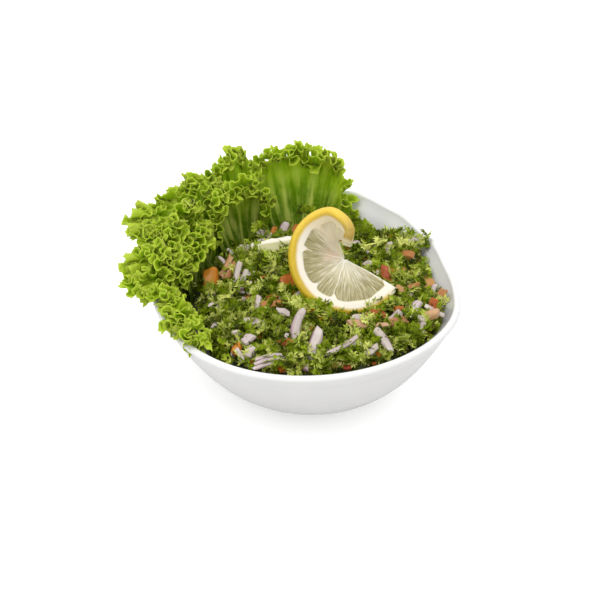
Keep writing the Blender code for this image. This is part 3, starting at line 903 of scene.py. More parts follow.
def leaf_skin():
    """Thin green leaf: dark pleated foot, lighter frill, pale ribs with painted shade in the hollows
    between them, pale edge, fine pale veins.
    """
    vector, colour, number = "NodeSocketVector", "NodeSocketColor", "NodeSocketFloat"
    group, given, result = shader_group(
        "lettuce_leaf_skin",
        {"Place": vector, "Leaf Map": vector, "Dark": colour, "Light": colour, "Edge": colour},
        {"Colour": colour, "Roughness": number, "Height": number},
    )
    parts = node_of(group, "ShaderNodeSeparateXYZ", {"Vector": given["Leaf Map"]})
    along, up = parts.outputs["X"], parts.outputs["Y"]
    cloud = cloudy(group, given["Place"], 110.0, 4.0)
    rib_place = {"X": times(group, along, 3.4), "Y": times(group, up, 1.3)}
    rib_place = node_of(group, "ShaderNodeCombineXYZ", rib_place).outputs["Vector"]
    ribs = cloudy(group, rib_place, 1.0, 2.0)
    veins = {"Vector": given["Place"], "Scale": 260.0}
    veins = node_of(group, "ShaderNodeTexVoronoi", veins, feature="DISTANCE_TO_EDGE").outputs["Distance"]
    up_leaf = sum_of(group, "SUBTRACT", scaled(group, cloud, 0.24, up), 0.12)
    body = blend_colours(group, step_mask(group, up_leaf, 0.35, 0.95), given["Dark"], given["Light"])
    low_down = step_mask(group, up, 0.95, 0.45)
    rib_share = times(group, step_mask(group, scaled(group, cloud, 0.34, ribs), 0.60, 0.84), low_down)
    body = blend_colours(group, times(group, rib_share, 0.85), body, (0.50, 0.57, 0.12))
    # Painted shade: the body is darkened in the sunken hollows between the ribs
    painted_rib_hollow_shade = times(group, step_mask(group, ribs, 0.48, 0.32), 0.8)
    body = blend_colours(group, times(group, painted_rib_hollow_shade, low_down), body, given["Dark"])
    vein_share = times(group, step_mask(group, veins, 0.22, 0.0), 0.12)
    body = blend_colours(group, vein_share, body, given["Edge"])
    edge_share = times(group, step_mask(group, up_leaf, 0.80, 1.05), 0.6)
    give(group, result["Colour"], blend_colours(group, edge_share, body, given["Edge"]))
    give(group, result["Roughness"], scaled(group, cloud, 0.2, 0.34))
    give(group, result["Height"], scaled(group, ribs, 0.6, veins))
    return group


def lettuce_finish(name, skin, colours):
    """Finish of one leaf; the light shines a little through it."""
    finish, tree, shader = new_finish(name, {
        "Subsurface Weight": 0.45, "Subsurface Radius": (0.0016, 0.0022, 0.0004), "Subsurface Scale": 1.0,
        "Specular IOR Level": 0.12, "Coat Weight": 0.04, "Coat Roughness": 0.25,
    })
    leaf_map = node_of(tree, "ShaderNodeUVMap", {}, uv_map="leaf_map").outputs["UV"]
    given = {"Place": object_place(tree), "Leaf Map": leaf_map} | colours
    leaf = node_of(tree, "ShaderNodeGroup", given, node_tree=skin).outputs
    give(tree, shader.inputs["Base Color"], leaf["Colour"])
    give(tree, shader.inputs["Roughness"], leaf["Roughness"])
    make_uneven(tree, shader, leaf["Height"], 0.5, 0.0006)
    return finish


FRESH_GREEN = {
    "Dark": (0.076, 0.160, 0.001), "Light": (0.326, 0.462, 0.013), "Edge": (0.455, 0.560, 0.066),
}
skin = leaf_skin()
for number, (name, leaf) in enumerate(LETTUCE.items()):
    finish = lettuce_finish(name + "_finish", skin, FRESH_GREEN)
    sheets = leaf_sheets(leaf, 31 * number + 5)
    piece = new_piece("frilled_" + name, leaf_mesh("frilled_" + name, sheets), finish)
    made_solid(piece, LEAF_THICK)
    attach(piece, "root")
    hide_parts(name)


# ------------------------------------------------------------------------------
# Lettuce rib. A strip cut from the pale middle of a leaf, laid across the heap behind the
# lemon: watery green on its face and nearly white along its cut edges.
# ------------------------------------------------------------------------------
RIB_START = (-0.0268, 0.0215, 0.0522)
RIB_END = (0.0018, 0.0262, 0.0540)
RIB_WIDTH = 0.0076
RIB_THICK = 0.0022
RIB_ARCH = 0.0004
RIB_LEAN = 24.0
RIB_ROWS = 48
RIB_AROUND = 28
RIB_GROOVE = 0.00025
# The rib's first end is narrower, and both ends are rounded: shares of its width and length
RIB_NARROW = 0.74
RIB_NARROW_OVER = 0.35
RIB_END_OVER = 0.03

start, end = np.array(RIB_START), np.array(RIB_END)
along = unit(end - start)
side = unit(np.cross((0.0, 0.0, 1.0), along))
lean = math.radians(RIB_LEAN)
side = side * math.cos(lean) + np.cross(along, side) * math.sin(lean)
upward = np.cross(along, side)
round_about = np.radians(np.linspace(0, 360, RIB_AROUND, endpoint=False))
rib_rows = []
for share in np.linspace(0, 1, RIB_ROWS):
    arch = np.array((0, 0, RIB_ARCH * math.sin(math.pi * share)))
    middle = start + (end - start) * share + arch
    width = RIB_WIDTH * (RIB_NARROW + (1 - RIB_NARROW) * min(share / RIB_NARROW_OVER, 1))
    width = width * (1 + 0.05 * math.sin(share * 23) + 0.03 * math.sin(share * 51 + 1))
    cut = min(share / RIB_END_OVER, (1 - share) / RIB_END_OVER, 1.0) ** 0.5
    ring = []
    for a in round_about:
        flat = np.sign(math.cos(a)) * abs(math.cos(a)) ** 0.35
        high = np.sign(math.sin(a)) * abs(math.sin(a)) ** 0.6
        groove = RIB_GROOVE * math.cos(5 * flat) * (high > 0)
        point = middle + side * flat * width / 2 * (0.8 + 0.2 * cut)
        ring.append(point + upward * (high * RIB_THICK / 2 * (0.55 + 0.45 * cut) + groove))
    rib_rows.append(ring)
first_end, last_end = [[np.mean(ring, axis=0)] * RIB_AROUND for ring in (rib_rows[0], rib_rows[-1])]
rib_grid = np.array([first_end] + rib_rows + [last_end])
rib_mesh = grid_mesh("rib_strip", rib_grid, wrap_across=True)
from_middle = (rib_grid - rib_grid.mean(axis=1, keepdims=True)) @ side
set_layer(rib_mesh, "cut_edge", from_middle / (RIB_WIDTH / 2))
close_outward(rib_mesh)
rib_finish, tree, shader = new_finish("pale_rib", {
    "Subsurface Weight": 0.4, "Subsurface Radius": (0.0022, 0.0022, 0.0010), "Subsurface Scale": 1.0,
    "Roughness": 0.32,
})
lengthwise = {"Vector": object_place(tree), "Scale": (0.16, 1.0, 1.0)}
lengthwise = node_of(tree, "ShaderNodeMapping", lengthwise).outputs["Vector"]
fibres = cloudy(tree, lengthwise, 300.0, 3.0)
face_tint = blend_colours(tree, fibres, (0.40, 0.39, 0.15), (0.60, 0.56, 0.31))
edge_share = step_mask(tree, read_layer(tree, "cut_edge"), 0.05, 0.55)
tint = blend_colours(tree, edge_share, face_tint, (0.84, 0.78, 0.66))
give(tree, shader.inputs["Base Color"], tint)
make_uneven(tree, shader, fibres, 0.5, 0.0004)
rib = new_piece("rib_strip", rib_mesh, rib_finish)
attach(rib, "root")
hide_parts("lettuce_rib")


# ------------------------------------------------------------------------------
# Parsley. Curly parsley leaves chopped small and tossed with oil: toothed scraps, whole
# little sprigs, shreds and bits of stalk, lying loose at every angle over the heart.
# ------------------------------------------------------------------------------
PARSLEY_LENGTH = 0.0031
SCRAP_LIFT = 0.00013
SCRAP_LOBES = 3
SCRAP_SPREAD = 2.1
SCRAP_RIPPLE = 0.20
# Outline of one lobe: how far across it, share of its length
LOBE_OUTLINE = ((0.0, 0.60), (0.26, 0.93), (0.52, 1.0), (0.78, 0.90))
STALK_RADIUS = 0.00034
STALK_SIDES = 3
# Clumps of the mix, to a metre: the same ones lift the loose pieces, and the pieces on them
# are painted lighter as painted light and those between them darker as painted shade
CLUMPS = 150.0


def toothed_scrap(work, length, cup, seed):
    """Fan-shaped closed scrap of leaf with a lobed margin, added to a mesh in the making."""
    dice = np.random.default_rng(seed)
    outline = []
    for lobe in range(SCRAP_LOBES):
        bulge = 0.8 + 0.2 * math.sin(math.pi * (lobe + 0.5) / SCRAP_LOBES)
        size = length * dice.uniform(0.82, 1.12) * bulge
        wave = SCRAP_RIPPLE * length * dice.uniform(0.5, 1.2) * (1 if lobe % 2 else -1)
        for place, share in LOBE_OUTLINE:
            angle = ((lobe + place) / SCRAP_LOBES - 0.5) * SCRAP_SPREAD
            away = size * share
            lift = cup * length * share ** 2 + wave * (share - 0.6) * 2.5
            outline.append((away * math.sin(angle), away * math.cos(angle), lift))
    angle = 0.5 * SCRAP_SPREAD
    outline.append((length * 0.55 * math.sin(angle), length * 0.55 * math.cos(angle), 0.0))
    rim_points = [work.verts.new((0, 0, 0))]
    rim_points += [work.verts.new(point) for point in outline]
    middle = Vector((0, 1, 0)) * length * 0.45 + Vector((0, 0, cup * length * 0.1))
    above = work.verts.new(middle + Vector((0, 0, SCRAP_LIFT)))
    below = work.verts.new(middle - Vector((0, 0, SCRAP_LIFT)))
    for first, second in zip(rim_points, rim_points[1:] + rim_points[:1]):
        work.faces.new((above, second, first))
        work.faces.new((below, first, second))


def stalk(work, points):
    """Thin round stalk through the points, closed at both ends."""
    rings = []
    for number, point in enumerate(points):
        thick = STALK_RADIUS * (1.0 - 0.25 * number / (len(points) - 1))
        ring = []
        for k in range(STALK_SIDES):
            a = 2 * math.pi * k / STALK_SIDES
            spoke = Vector((math.cos(a) * thick, 0, math.sin(a) * thick))
            ring.append(work.verts.new(Vector(point) + spoke))
        rings.append(ring)
    for low, high in zip(rings, rings[1:]):
        for k in range(STALK_SIDES):
            k2 = (k + 1) % STALK_SIDES
            work.faces.new((low[k], low[k2], high[k2], high[k]))
    work.faces.new(rings[0][::-1])
    work.faces.new(rings[-1])


def finished_shape(name, work):
    """Object with flat faces from a mesh in the making, its faces turned outwards."""
    mesh = bpy.data.meshes.new(name)
    bmesh.ops.recalc_face_normals(work, faces=work.faces)
    for face in work.faces:
        face.smooth = False
    work.to_mesh(mesh)
    work.free()
    return bpy.data.objects.new(name, mesh)


def feathered_scrap(work, length, lobes, reach, bend, cup, seed, root=(0, 0, 0), heading=0.0):
    """Closed scrap of leaf with a midrib and pointed lobes down both sides."""
    dice = np.random.default_rng(seed)
    spine = []
    for k in range(lobes + 1):
        share = k / lobes
        across = 0.12 * length * math.sin(2.2 * share + seed)
        lift = bend * length * math.sin(1.6 * share) + dice.uniform(-0.03, 0.03) * length
        spine.append((across, length * share, lift))
    turned = Matrix.Rotation(-heading, 3, "Z")
    base = Vector(root)

    def put(point):
        return work.verts.new(base + turned @ Vector(point))

    sharp = put(spine[-1])
    foot = put(spine[0])
    above = [put((x, y, z + SCRAP_LIFT)) for x, y, z in spine[1:-1]]
    below = [put((x, y, z - SCRAP_LIFT)) for x, y, z in spine[1:-1]]
    upper = [foot] + above + [sharp]
    lower = [foot] + below + [sharp]
    for side in (-1, 1):
        line = [foot]
        for k in range(lobes):
            share = (k + 0.5) / lobes
            wide = reach * length * math.sin(math.pi * (0.18 + 0.72 * share)) * dice.uniform(0.75, 1.25)
            x, y, z = spine[k]
            tip = (x + side * wide, y + length / lobes * dice.uniform(0.75, 1.25), z + cup * wide)
            line.append(put((tip[0], tip[1], tip[2] + dice.uniform(-0.25, 0.45) * wide)))
            if k < lobes - 1:
                x, y, z = spine[k + 1]
                line.append(put((x + side * wide * 0.38, y + 0.1 * length / lobes, z + cup * wide * 0.3)))
        line.append(sharp)
        for k in range(lobes):
            tip = line[2 * k + 1]
            into = line[2 * k]
            out = line[2 * k + 2]
            for spots, flip in ((upper, side > 0), (lower, side < 0)):
                near, far = spots[k], spots[k + 1]
                for trio in ((near, tip, into), (near, far, tip), (far, out, tip)):
                    if len(set(trio)) == 3:
                        work.faces.new(trio if flip else trio[::-1])


def ferny_scrap(work, length, pairs, seed, root=(0, 0, 0), heading=0.0):
    """Scrap of curled leaf cut into narrow pointed fingers along both sides of a midrib."""
    dice = np.random.default_rng(seed)
    turned = Matrix.Rotation(-heading, 3, "Z")
    bow = dice.uniform(-0.25, 0.35)
    fingers = [((0.0, 0.0, 0.0), (0.0, 0.70, bow * 0.5), 0.10)]
    fingers.append(((0.0, 0.55, bow * 0.3), (0.0, 1.05, bow), 0.20))
    for k in range(pairs):
        share = 0.12 + 0.62 * k / pairs
        for side in (-1, 1):
            wide = math.sin(math.pi * (0.25 + 0.6 * share)) * dice.uniform(0.34, 0.58)
            rise = bow * share + dice.uniform(-0.12, 0.38) * wide * 1.6
            tip = (side * wide, share + dice.uniform(0.16, 0.42), rise)
            fingers.append(((0.0, share, bow * share * 0.5), tip, dice.uniform(0.15, 0.24)))
    for foot, tip, width in fingers:
        foot = Vector(foot)
        tip = Vector(tip)
        across = (tip - foot).cross(Vector((0, 0, 1))).normalized() * width / 2
        middle = foot + (tip - foot) * 0.42
        corners = (foot, middle - across, tip, middle + across, middle + Vector((0, 0, 0.05)))
        spots = [work.verts.new(Vector(root) + turned @ (corner * length)) for corner in corners]
        for trio in ((0, 1, 4), (1, 2, 4), (2, 3, 4), (3, 0, 4)):
            work.faces.new([spots[k] for k in trio])
        work.faces.new([spots[k] for k in (3, 2, 1, 0)])


parsley_kinds = bpy.data.collections.new("parsley_kinds")
for seed in range(3):
    work = bmesh.new()
    toothed_scrap(work, PARSLEY_LENGTH * (0.55 + 0.1 * seed), 0.15 * seed, seed)
    parsley_kinds.objects.link(finished_shape("scrap_small_%d" % seed, work))
fern_kinds = bpy.data.collections.new("fern_kinds")
for seed in range(5):
    work = bmesh.new()
    ferny_scrap(work, PARSLEY_LENGTH * (1.0 + 0.16 * seed), 3 + seed % 2, 70 + seed)
    fern_kinds.objects.link(finished_shape("scrap_ferny_%d" % seed, work))
for seed in range(6):
    work = bmesh.new()
    length = PARSLEY_LENGTH * (1.0 + 0.14 * seed)
    feathered_scrap(work, length, 3 + seed % 2, 0.42, 0.22 - 0.08 * seed, 0.35, 30 + seed)
    parsley_kinds.objects.link(finished_shape("scrap_feathered_%d" % seed, work))
sprig_kinds = bpy.data.collections.new("sprig_kinds")
for seed in range(4):
    work = bmesh.new()
    for number, heading in enumerate((-1.25, -0.45, 0.4, 1.2)):
        root = (math.sin(heading) * 0.0005, 0.0016 + math.cos(heading) * 0.0005, 0.0002 * number)
        length = PARSLEY_LENGTH * (1.15 - 0.3 * abs(heading) / 1.25)
        salt = 50 + 7 * seed + number
        if number % 2:
            ferny_scrap(work, length * 1.15, 4, salt, root, heading)
        else:
            feathered_scrap(work, length, 3, 0.45, 0.3 - 0.1 * number, 0.4, salt, root, heading)
    stalk(work, ((0, -0.0022, 0), (0.0001, 0.0002, 0.0001), (0, 0.0018, 0)))
    sprig_kinds.objects.link(finished_shape("sprig_%d" % seed, work))


def scatter_tree():
    """Geometry Nodes that strew the pieces of a collection over a surface."""
    tree = bpy.data.node_groups.new("strewn_pieces", "GeometryNodeTree")
    sockets = {}
    tree.interface.new_socket("Geometry", in_out="INPUT", socket_type="NodeSocketGeometry")
    for label, kind in (
        ("Pieces", "NodeSocketCollection"), ("Clear Of", "NodeSocketObject"),
        ("Finish", "NodeSocketMaterial"), ("Per Square Metre", "NodeSocketFloat"),
        ("Smallest", "NodeSocketFloat"), ("Largest", "NodeSocketFloat"),
        ("Deepest", "NodeSocketFloat"), ("Highest", "NodeSocketFloat"),
        ("Most Tilt", "NodeSocketFloat"), ("Clearance", "NodeSocketFloat"),
        ("Clumping", "NodeSocketFloat"), ("Seed", "NodeSocketInt"),
    ):
        socket = tree.interface.new_socket(label, in_out="INPUT", socket_type=kind)
        sockets[label] = socket.identifier
    tree.interface.new_socket("Geometry", in_out="OUTPUT", socket_type="NodeSocketGeometry")
    given = tree.nodes.new("NodeGroupInput").outputs
    result = tree.nodes.new("NodeGroupOutput")

    def chance(low, high, salt, kind="FLOAT"):
        first, drawn = (0, 0) if kind == "FLOAT_VECTOR" else (2, 1)
        limits = {first: low, first + 1: high, "Seed": scaled(tree, given["Seed"], 13.0, salt)}
        return node_of(tree, "FunctionNodeRandomValue", limits, data_type=kind).outputs[drawn]

    # Points over the surface, each lifted by chance and more so in clumps
    spread = node_of(tree, "GeometryNodeDistributePointsOnFaces", {
        "Mesh": given["Geometry"], "Density": given["Per Square Metre"], "Seed": given["Seed"],
    })
    clumps = node_of(tree, "ShaderNodeTexNoise", {"Scale": CLUMPS, "Detail": 2.0})
    above = sum_of(tree, "SUBTRACT", clumps.outputs["Fac"], 0.52)
    depth = chance(given["Deepest"], given["Highest"], 1)
    depth = scaled(tree, above, given["Clumping"], depth)
    lift = {0: spread.outputs["Normal"], "Scale": depth}
    lift = node_of(tree, "ShaderNodeVectorMath", lift, operation="SCALE")
    moved = node_of(tree, "GeometryNodeSetPosition", {
        "Geometry": spread.outputs["Points"], "Offset": lift.outputs["Vector"],
    })
    # None of them is left too near the piece that has to stay clear
    other = node_of(tree, "GeometryNodeObjectInfo", {"Object": given["Clear Of"]})
    gap = node_of(tree, "GeometryNodeProximity", {0: other.outputs["Geometry"]})
    close = {0: gap.outputs["Distance"], 1: given["Clearance"]}
    close = node_of(tree, "FunctionNodeCompare", close, operation="LESS_THAN")
    cleared = node_of(tree, "GeometryNodeDeleteGeometry", {
        "Geometry": moved.outputs["Geometry"], "Selection": close.outputs["Result"],
    })
    # One piece on each point, turned and tilted by chance
    tilt = {"X": given["Most Tilt"], "Y": given["Most Tilt"]}
    least = {axis: times(tree, most, -1.0) for axis, most in tilt.items()}
    lows = node_of(tree, "ShaderNodeCombineXYZ", least)
    highs = node_of(tree, "ShaderNodeCombineXYZ", tilt | {"Z": 2 * math.pi})
    leaning = chance(lows.outputs["Vector"], highs.outputs["Vector"], 2, "FLOAT_VECTOR")
    as_turn = node_of(tree, "FunctionNodeEulerToRotation", {"Euler": leaning})
    turned = {"Rotation": spread.outputs["Rotation"], "Rotate By": as_turn.outputs["Rotation"]}
    turned = node_of(tree, "FunctionNodeRotateRotation", turned, rotation_space="LOCAL")
    kinds = node_of(tree, "GeometryNodeCollectionInfo", {
        "Collection": given["Pieces"], "Separate Children": True, "Reset Children": True,
    })
    placed = node_of(tree, "GeometryNodeInstanceOnPoints", {
        "Points": cleared.outputs["Geometry"], "Instance": kinds.outputs["Instances"],
        "Pick Instance": True, "Rotation": turned.outputs["Rotation"],
        "Scale": chance(given["Smallest"], given["Largest"], 3),
    })
    shade = node_of(tree, "GeometryNodeStoreNamedAttribute", {
        "Geometry": placed.outputs["Instances"], "Name": "shade", "Value": chance(0.0, 1.0, 4),
    }, domain="INSTANCE")
    whole = node_of(tree, "GeometryNodeRealizeInstances", {"Geometry": shade.outputs["Geometry"]})
    finish = node_of(tree, "GeometryNodeSetMaterial", {
        "Geometry": whole.outputs["Geometry"], "Material": given["Finish"],
    })
    give(tree, result.inputs["Geometry"], finish.outputs["Geometry"])
    return tree, sockets


strew_tree, strew_sockets = scatter_tree()


def strewn(name, surface, values):
    """A plain piece made of everything that the tree strews over one surface."""
    guide = bpy.data.objects.new(name + "_guide", surface)
    bpy.context.scene.collection.objects.link(guide)
    strew = guide.modifiers.new("strew", "NODES")
    strew.node_group = strew_tree
    for label, value in values.items():
        strew[strew_sockets[label]] = value
    bpy.context.view_layer.update()
    graph = bpy.context.evaluated_depsgraph_get()
    mesh = bpy.data.meshes.new_from_object(guide.evaluated_get(graph))
    mesh.name = name
    bpy.data.objects.remove(guide, do_unlink=True)
    piece = bpy.data.objects.new(name, mesh)
    bpy.context.scene.collection.objects.link(piece)
    return piece


def chopped_leaf():
    """How light each spot of the chopped leaf is, with painted light on its clumps and painted shade in
    the hollows between them.
    """
    number = "NodeSocketFloat"
    group, given, result = shader_group(
        "chopped_leaf",
        {"Place": "NodeSocketVector", "Shade": number},
        {"Lightness": number, "Hollow": number, "Roughness": number},
    )
    cloud = cloudy(group, given["Place"], 420.0, 2.0)
    clumps = cloudy(group, given["Place"], CLUMPS, 2.0)
    # Painted light: pieces on top of the clumps are made lighter
    above = sum_of(group, "SUBTRACT", clumps, 0.45)
    tone_and_painted_light = scaled(group, above, 1.35, scaled(group, cloud, 0.4, given["Shade"]))
    give(group, result["Lightness"], sum_of(group, "SUBTRACT", tone_and_painted_light, 0.25))
    # Painted shade: pieces in the hollows between the clumps are darkened
    give(group, result["Hollow"], times(group, step_mask(group, clumps, 0.46, 0.36), 0.8))
    give(group, result["Roughness"], scaled(group, cloud, 0.25, 0.32))
    return group


chopped = chopped_leaf()


def parsley_finish(name, tints):
    """Chopped leaf, from deep to bright green scrap by scrap, with painted light on the clumps, painted
    shade in the hollows and a thin oily shine.
    """
    finish, tree, shader = new_finish(name, {
        "Subsurface Weight": 0.25, "Subsurface Radius": (0.0008, 0.0012, 0.0003), "Subsurface Scale": 1.0,
        "Specular IOR Level": 0.08, "Coat Weight": 0.03, "Coat Roughness": 0.10,
    })
    given = {"Place": object_place(tree), "Shade": read_layer(tree, "shade")}
    scrap = node_of(tree, "ShaderNodeGroup", given, node_tree=chopped).outputs
    tint = tinted(tree, scrap["Lightness"], tints)
    # Painted shade: darkened towards near black in the hollows between the clumps
    tint = blend_colours(tree, scrap["Hollow"], tint, (0.030, 0.036, 0.001))
    give(tree, shader.inputs["Base Color"], tint)
    give(tree, shader.inputs["Roughness"], scrap["Roughness"])
    return finish


parsley_green = parsley_finish(
    "parsley_green",
    (
        (0.00, (0.035, 0.056, 0.001)), (0.28, (0.114, 0.169, 0.002)),
        (0.58, (0.247, 0.331, 0.010)), (1.00, (0.615, 0.660, 0.155)),
    ),
)
# Lighter copy of the parsley finish: painted light for the sprigs strewn over the patches
parsley_bright = parsley_finish(
    "parsley_bright",
    (
        (0.00, (0.060, 0.092, 0.001)), (0.24, (0.145, 0.210, 0.002)),
        (0.52, (0.285, 0.385, 0.012)), (1.00, (0.615, 0.668, 0.160)),
    ),
)
# Darker copy of the parsley finish: painted shade for the under layer, deepest in the heap
parsley_deep = parsley_finish(
    "parsley_deep",
    (
        (0.00, (0.012, 0.017, 0.001)), (0.45, (0.032, 0.046, 0.001)),
        (0.80, (0.095, 0.110, 0.004)), (1.00, (0.240, 0.190, 0.034)),
    ),
)

# Surface that the loose pieces are strewn over: the heap's top, drawn in a little, less so
# towards the front, and sunk towards the back
DRAWN_IN = 0.968
LESS_IN_FRONT = 0.016
FRONT_AT = 0.05
SUNK_BEHIND = 0.0014
BACK_AT = 0.045
inner_top = top.copy()
towards_front = np.clip(-inner_top[..., 1] / FRONT_AT, 0, 1)
inner_top[..., :2] *= (DRAWN_IN + LESS_IN_FRONT * towards_front)[..., None]
inner_top[..., 2] -= SUNK_BEHIND * np.clip(inner_top[..., 1] / BACK_AT, 0, 1)
inner_mesh = grid_mesh("heap_top_inner", inner_top, wrap_across=True)
close_outward(inner_mesh)
if sum(face.normal.z for face in inner_mesh.polygons) < 0:
    inner_mesh.flip_normals()

PATCH_CORNERS = 14
PATCH_RISE = 0.0006
# Height that is taken where a place lies beside the heap's top
BESIDE_HEIGHT = 0.0515
# Places where sprigs in the lighter, painted-light finish lie thickest: azimuth, radius, lift, spread
# (millimetres)
SPRIG_PATCHES = (
    (37, 66, 1.2, 5), (30, 66, 1.0, 5), (44, 64, 0.2, 4), (58, 44, 1.0, 7), (330, 47, 1.5, 7),
    (273, 25, 3.0, 4), (281, 28, 2.6, 4), (300, 29, 0.5, 4), (272, 65, 0.5, 8), (286, 65, 0.5, 7),
    (260, 66, 0.5, 6), (299, 66, 0.4, 6), (311, 66, 0.4, 5), (322, 66, 0.4, 5), (248, 66, 0.4, 5),
    (158, 24, 1.0, 8), (112, 34, 1.6, 5), (150, 36, 1.2, 5),
    (240, 46, 0.5, 8), (225, 25, 0.5, 6), (345, 46, 0.5, 7), (15, 42, 0.5, 7), (255, 62, 0.5, 6),
    (205, 44, 0.5, 6), (315, 62, 0.5, 7), (80, 40, 0.5, 8), (270, 30, 0.5, 5), (5, 30, 0.5, 6),
)
patch_points = []
patch_faces = []
for azimuth, radius, lift, size in SPRIG_PATCHES:
    middle = Vector(at(azimuth, radius / 1000, 0.0))
    ground = heap_top(middle.x, middle.y) or BESIDE_HEIGHT
    first = len(patch_points)
    patch_points.append((middle.x, middle.y, ground + lift / 1000 + PATCH_RISE))
    for k in range(PATCH_CORNERS):
        a = 2 * math.pi * k / PATCH_CORNERS
        # A corner that would lie beside the heap is drawn back to it
        for reach in (size, size * 0.75, size * 0.5, size * 0.25, 0.0):
            x = middle.x + reach / 1000 * math.cos(a)
            y = middle.y + reach / 1000 * math.sin(a)
            if heap_top(x * 1.02, y * 1.02):
                break
        patch_points.append((x, y, (heap_top(x, y) or ground) + lift / 2000))
    for k in range(PATCH_CORNERS):
        patch_faces.append((first, first + 1 + k, first + 1 + (k + 1) % PATCH_CORNERS))
patch_mesh = bpy.data.meshes.new("sprig_patches")
patch_mesh.from_pydata(patch_points, [], patch_faces)

# The under layer wears the darker copy of the parsley finish, as painted shade
under = strewn("parsley_under", inner_mesh.copy(), {
    "Pieces": parsley_kinds, "Clear Of": lemon, "Finish": parsley_deep, "Per Square Metre": 330000.0,
    "Smallest": 0.80, "Largest": 1.35, "Deepest": -0.0030, "Highest": -0.0008,
    "Most Tilt": 1.0, "Clearance": 0.0014, "Clumping": 0.008, "Seed": 11,
})
over = strewn("parsley_over", inner_mesh.copy(), {
    "Pieces": parsley_kinds, "Clear Of": lemon, "Finish": parsley_green, "Per Square Metre": 260000.0,
    "Smallest": 0.55, "Largest": 1.15, "Deepest": -0.0018, "Highest": 0.0012,
    "Most Tilt": 1.2, "Clearance": 0.0024, "Clumping": 0.014, "Seed": 23,
})
ferns = strewn("parsley_ferns", inner_mesh.copy(), {
    "Pieces": fern_kinds, "Clear Of": lemon, "Finish": parsley_green, "Per Square Metre": 270000.0,
    "Smallest": 0.70, "Largest": 1.50, "Deepest": -0.0008, "Highest": 0.0018,
    "Most Tilt": 1.3, "Clearance": 0.0024, "Clumping": 0.016, "Seed": 31,
})
sprigs = strewn("parsley_sprigs", patch_mesh, {
    "Pieces": sprig_kinds, "Clear Of": lemon, "Finish": parsley_bright, "Per Square Metre": 190000.0,
    "Smallest": 0.65, "Largest": 1.30, "Deepest": -0.0006, "Highest": 0.0014,
    "Most Tilt": 0.9, "Clearance": 0.0014, "Clumping": 0.004, "Seed": 5,
})
sprays = strewn("parsley_sprays", inner_mesh.copy(), {
    "Pieces": sprig_kinds, "Clear Of": lemon, "Finish": parsley_green, "Per Square Metre": 34000.0,
    "Smallest": 0.80, "Largest": 1.55, "Deepest": -0.0004, "Highest": 0.0016,
    "Most Tilt": 0.8, "Clearance": 0.0030, "Clumping": 0.012, "Seed": 91,
})

# Sprigs that stand clear of the rest: place of the foot (millimetres), heading, lean, size, shade
STANDING_SPRIGS = (
    (2.2, -34.2, 55.4, 34, 55, 1.15, 0.55), (4.4, -34.8, 54.6, -2, 52, 1.30, 0.42),
    (7.4, -35.2, 54.0, -26, 54, 1.25, 0.62), (5.6, -35.6, 52.6, 20, 50, 1.10, 0.34),
    (21.6, 31.0, 52.8, 16, 50, 1.80, 0.22), (24.6, 31.4, 52.8, -18, 50, 1.90, 0.34),
    (23.2, 32.6, 56.2, 4, 58, 1.60, 0.28), (27.2, 31.8, 52.2, -44, 46, 1.60, 0.42),
    (29.4, 33.0, 51.6, -10, 50, 1.40, 0.50), (22.4, 33.4, 58.8, -12, 60, 1.20, 0.36),
    (-0.6, 48.6, 53.6, 8, 58, 1.30, 0.38), (1.2, 48.9, 53.2, -14, 58, 1.30, 0.30),
    (-22.6, 36.4, 51.4, 20, 50, 1.30, 0.50),
)
work = bmesh.new()
shades = []
for number, (x, y, z, heading, lean, size, shade) in enumerate(STANDING_SPRIGS):
    first = len(work.verts)
    work.from_mesh(sprig_kinds.objects["sprig_%d" % (number % 4)].data)
    work.verts.ensure_lookup_table()
    place = Matrix.Translation((x / 1000, y / 1000, z / 1000))
    place = place @ Matrix.Rotation(math.radians(lean), 4, "X")
    place = place @ Matrix.Rotation(math.radians(heading), 4, "Z") @ Matrix.Scale(size, 4)
    bmesh.ops.transform(work, matrix=place, verts=work.verts[first:])
    shades += [shade] * (len(work.verts) - first)
standing_mesh = bpy.data.meshes.new("parsley_standing")
work.to_mesh(standing_mesh)
work.free()
set_layer(standing_mesh, "shade", shades)
standing = new_piece("parsley_standing", standing_mesh, parsley_green, smooth=False)
for piece in (under, over, ferns, sprigs, sprays, standing):
    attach(piece, "root")
    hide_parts("tabbouleh")


# ------------------------------------------------------------------------------
# Onion. Red onion sliced thin: curved slips, lilac white with a purple line of skin along
# their outer edge, the larger ones two or three layers together, laid on and in the heap.
# ------------------------------------------------------------------------------
SLIP_ROUNDNESS = 0.35
SLIP_AROUND = 12
SLIP_DEPTH = 0.40
SLIP_DEEPEST = 1.5
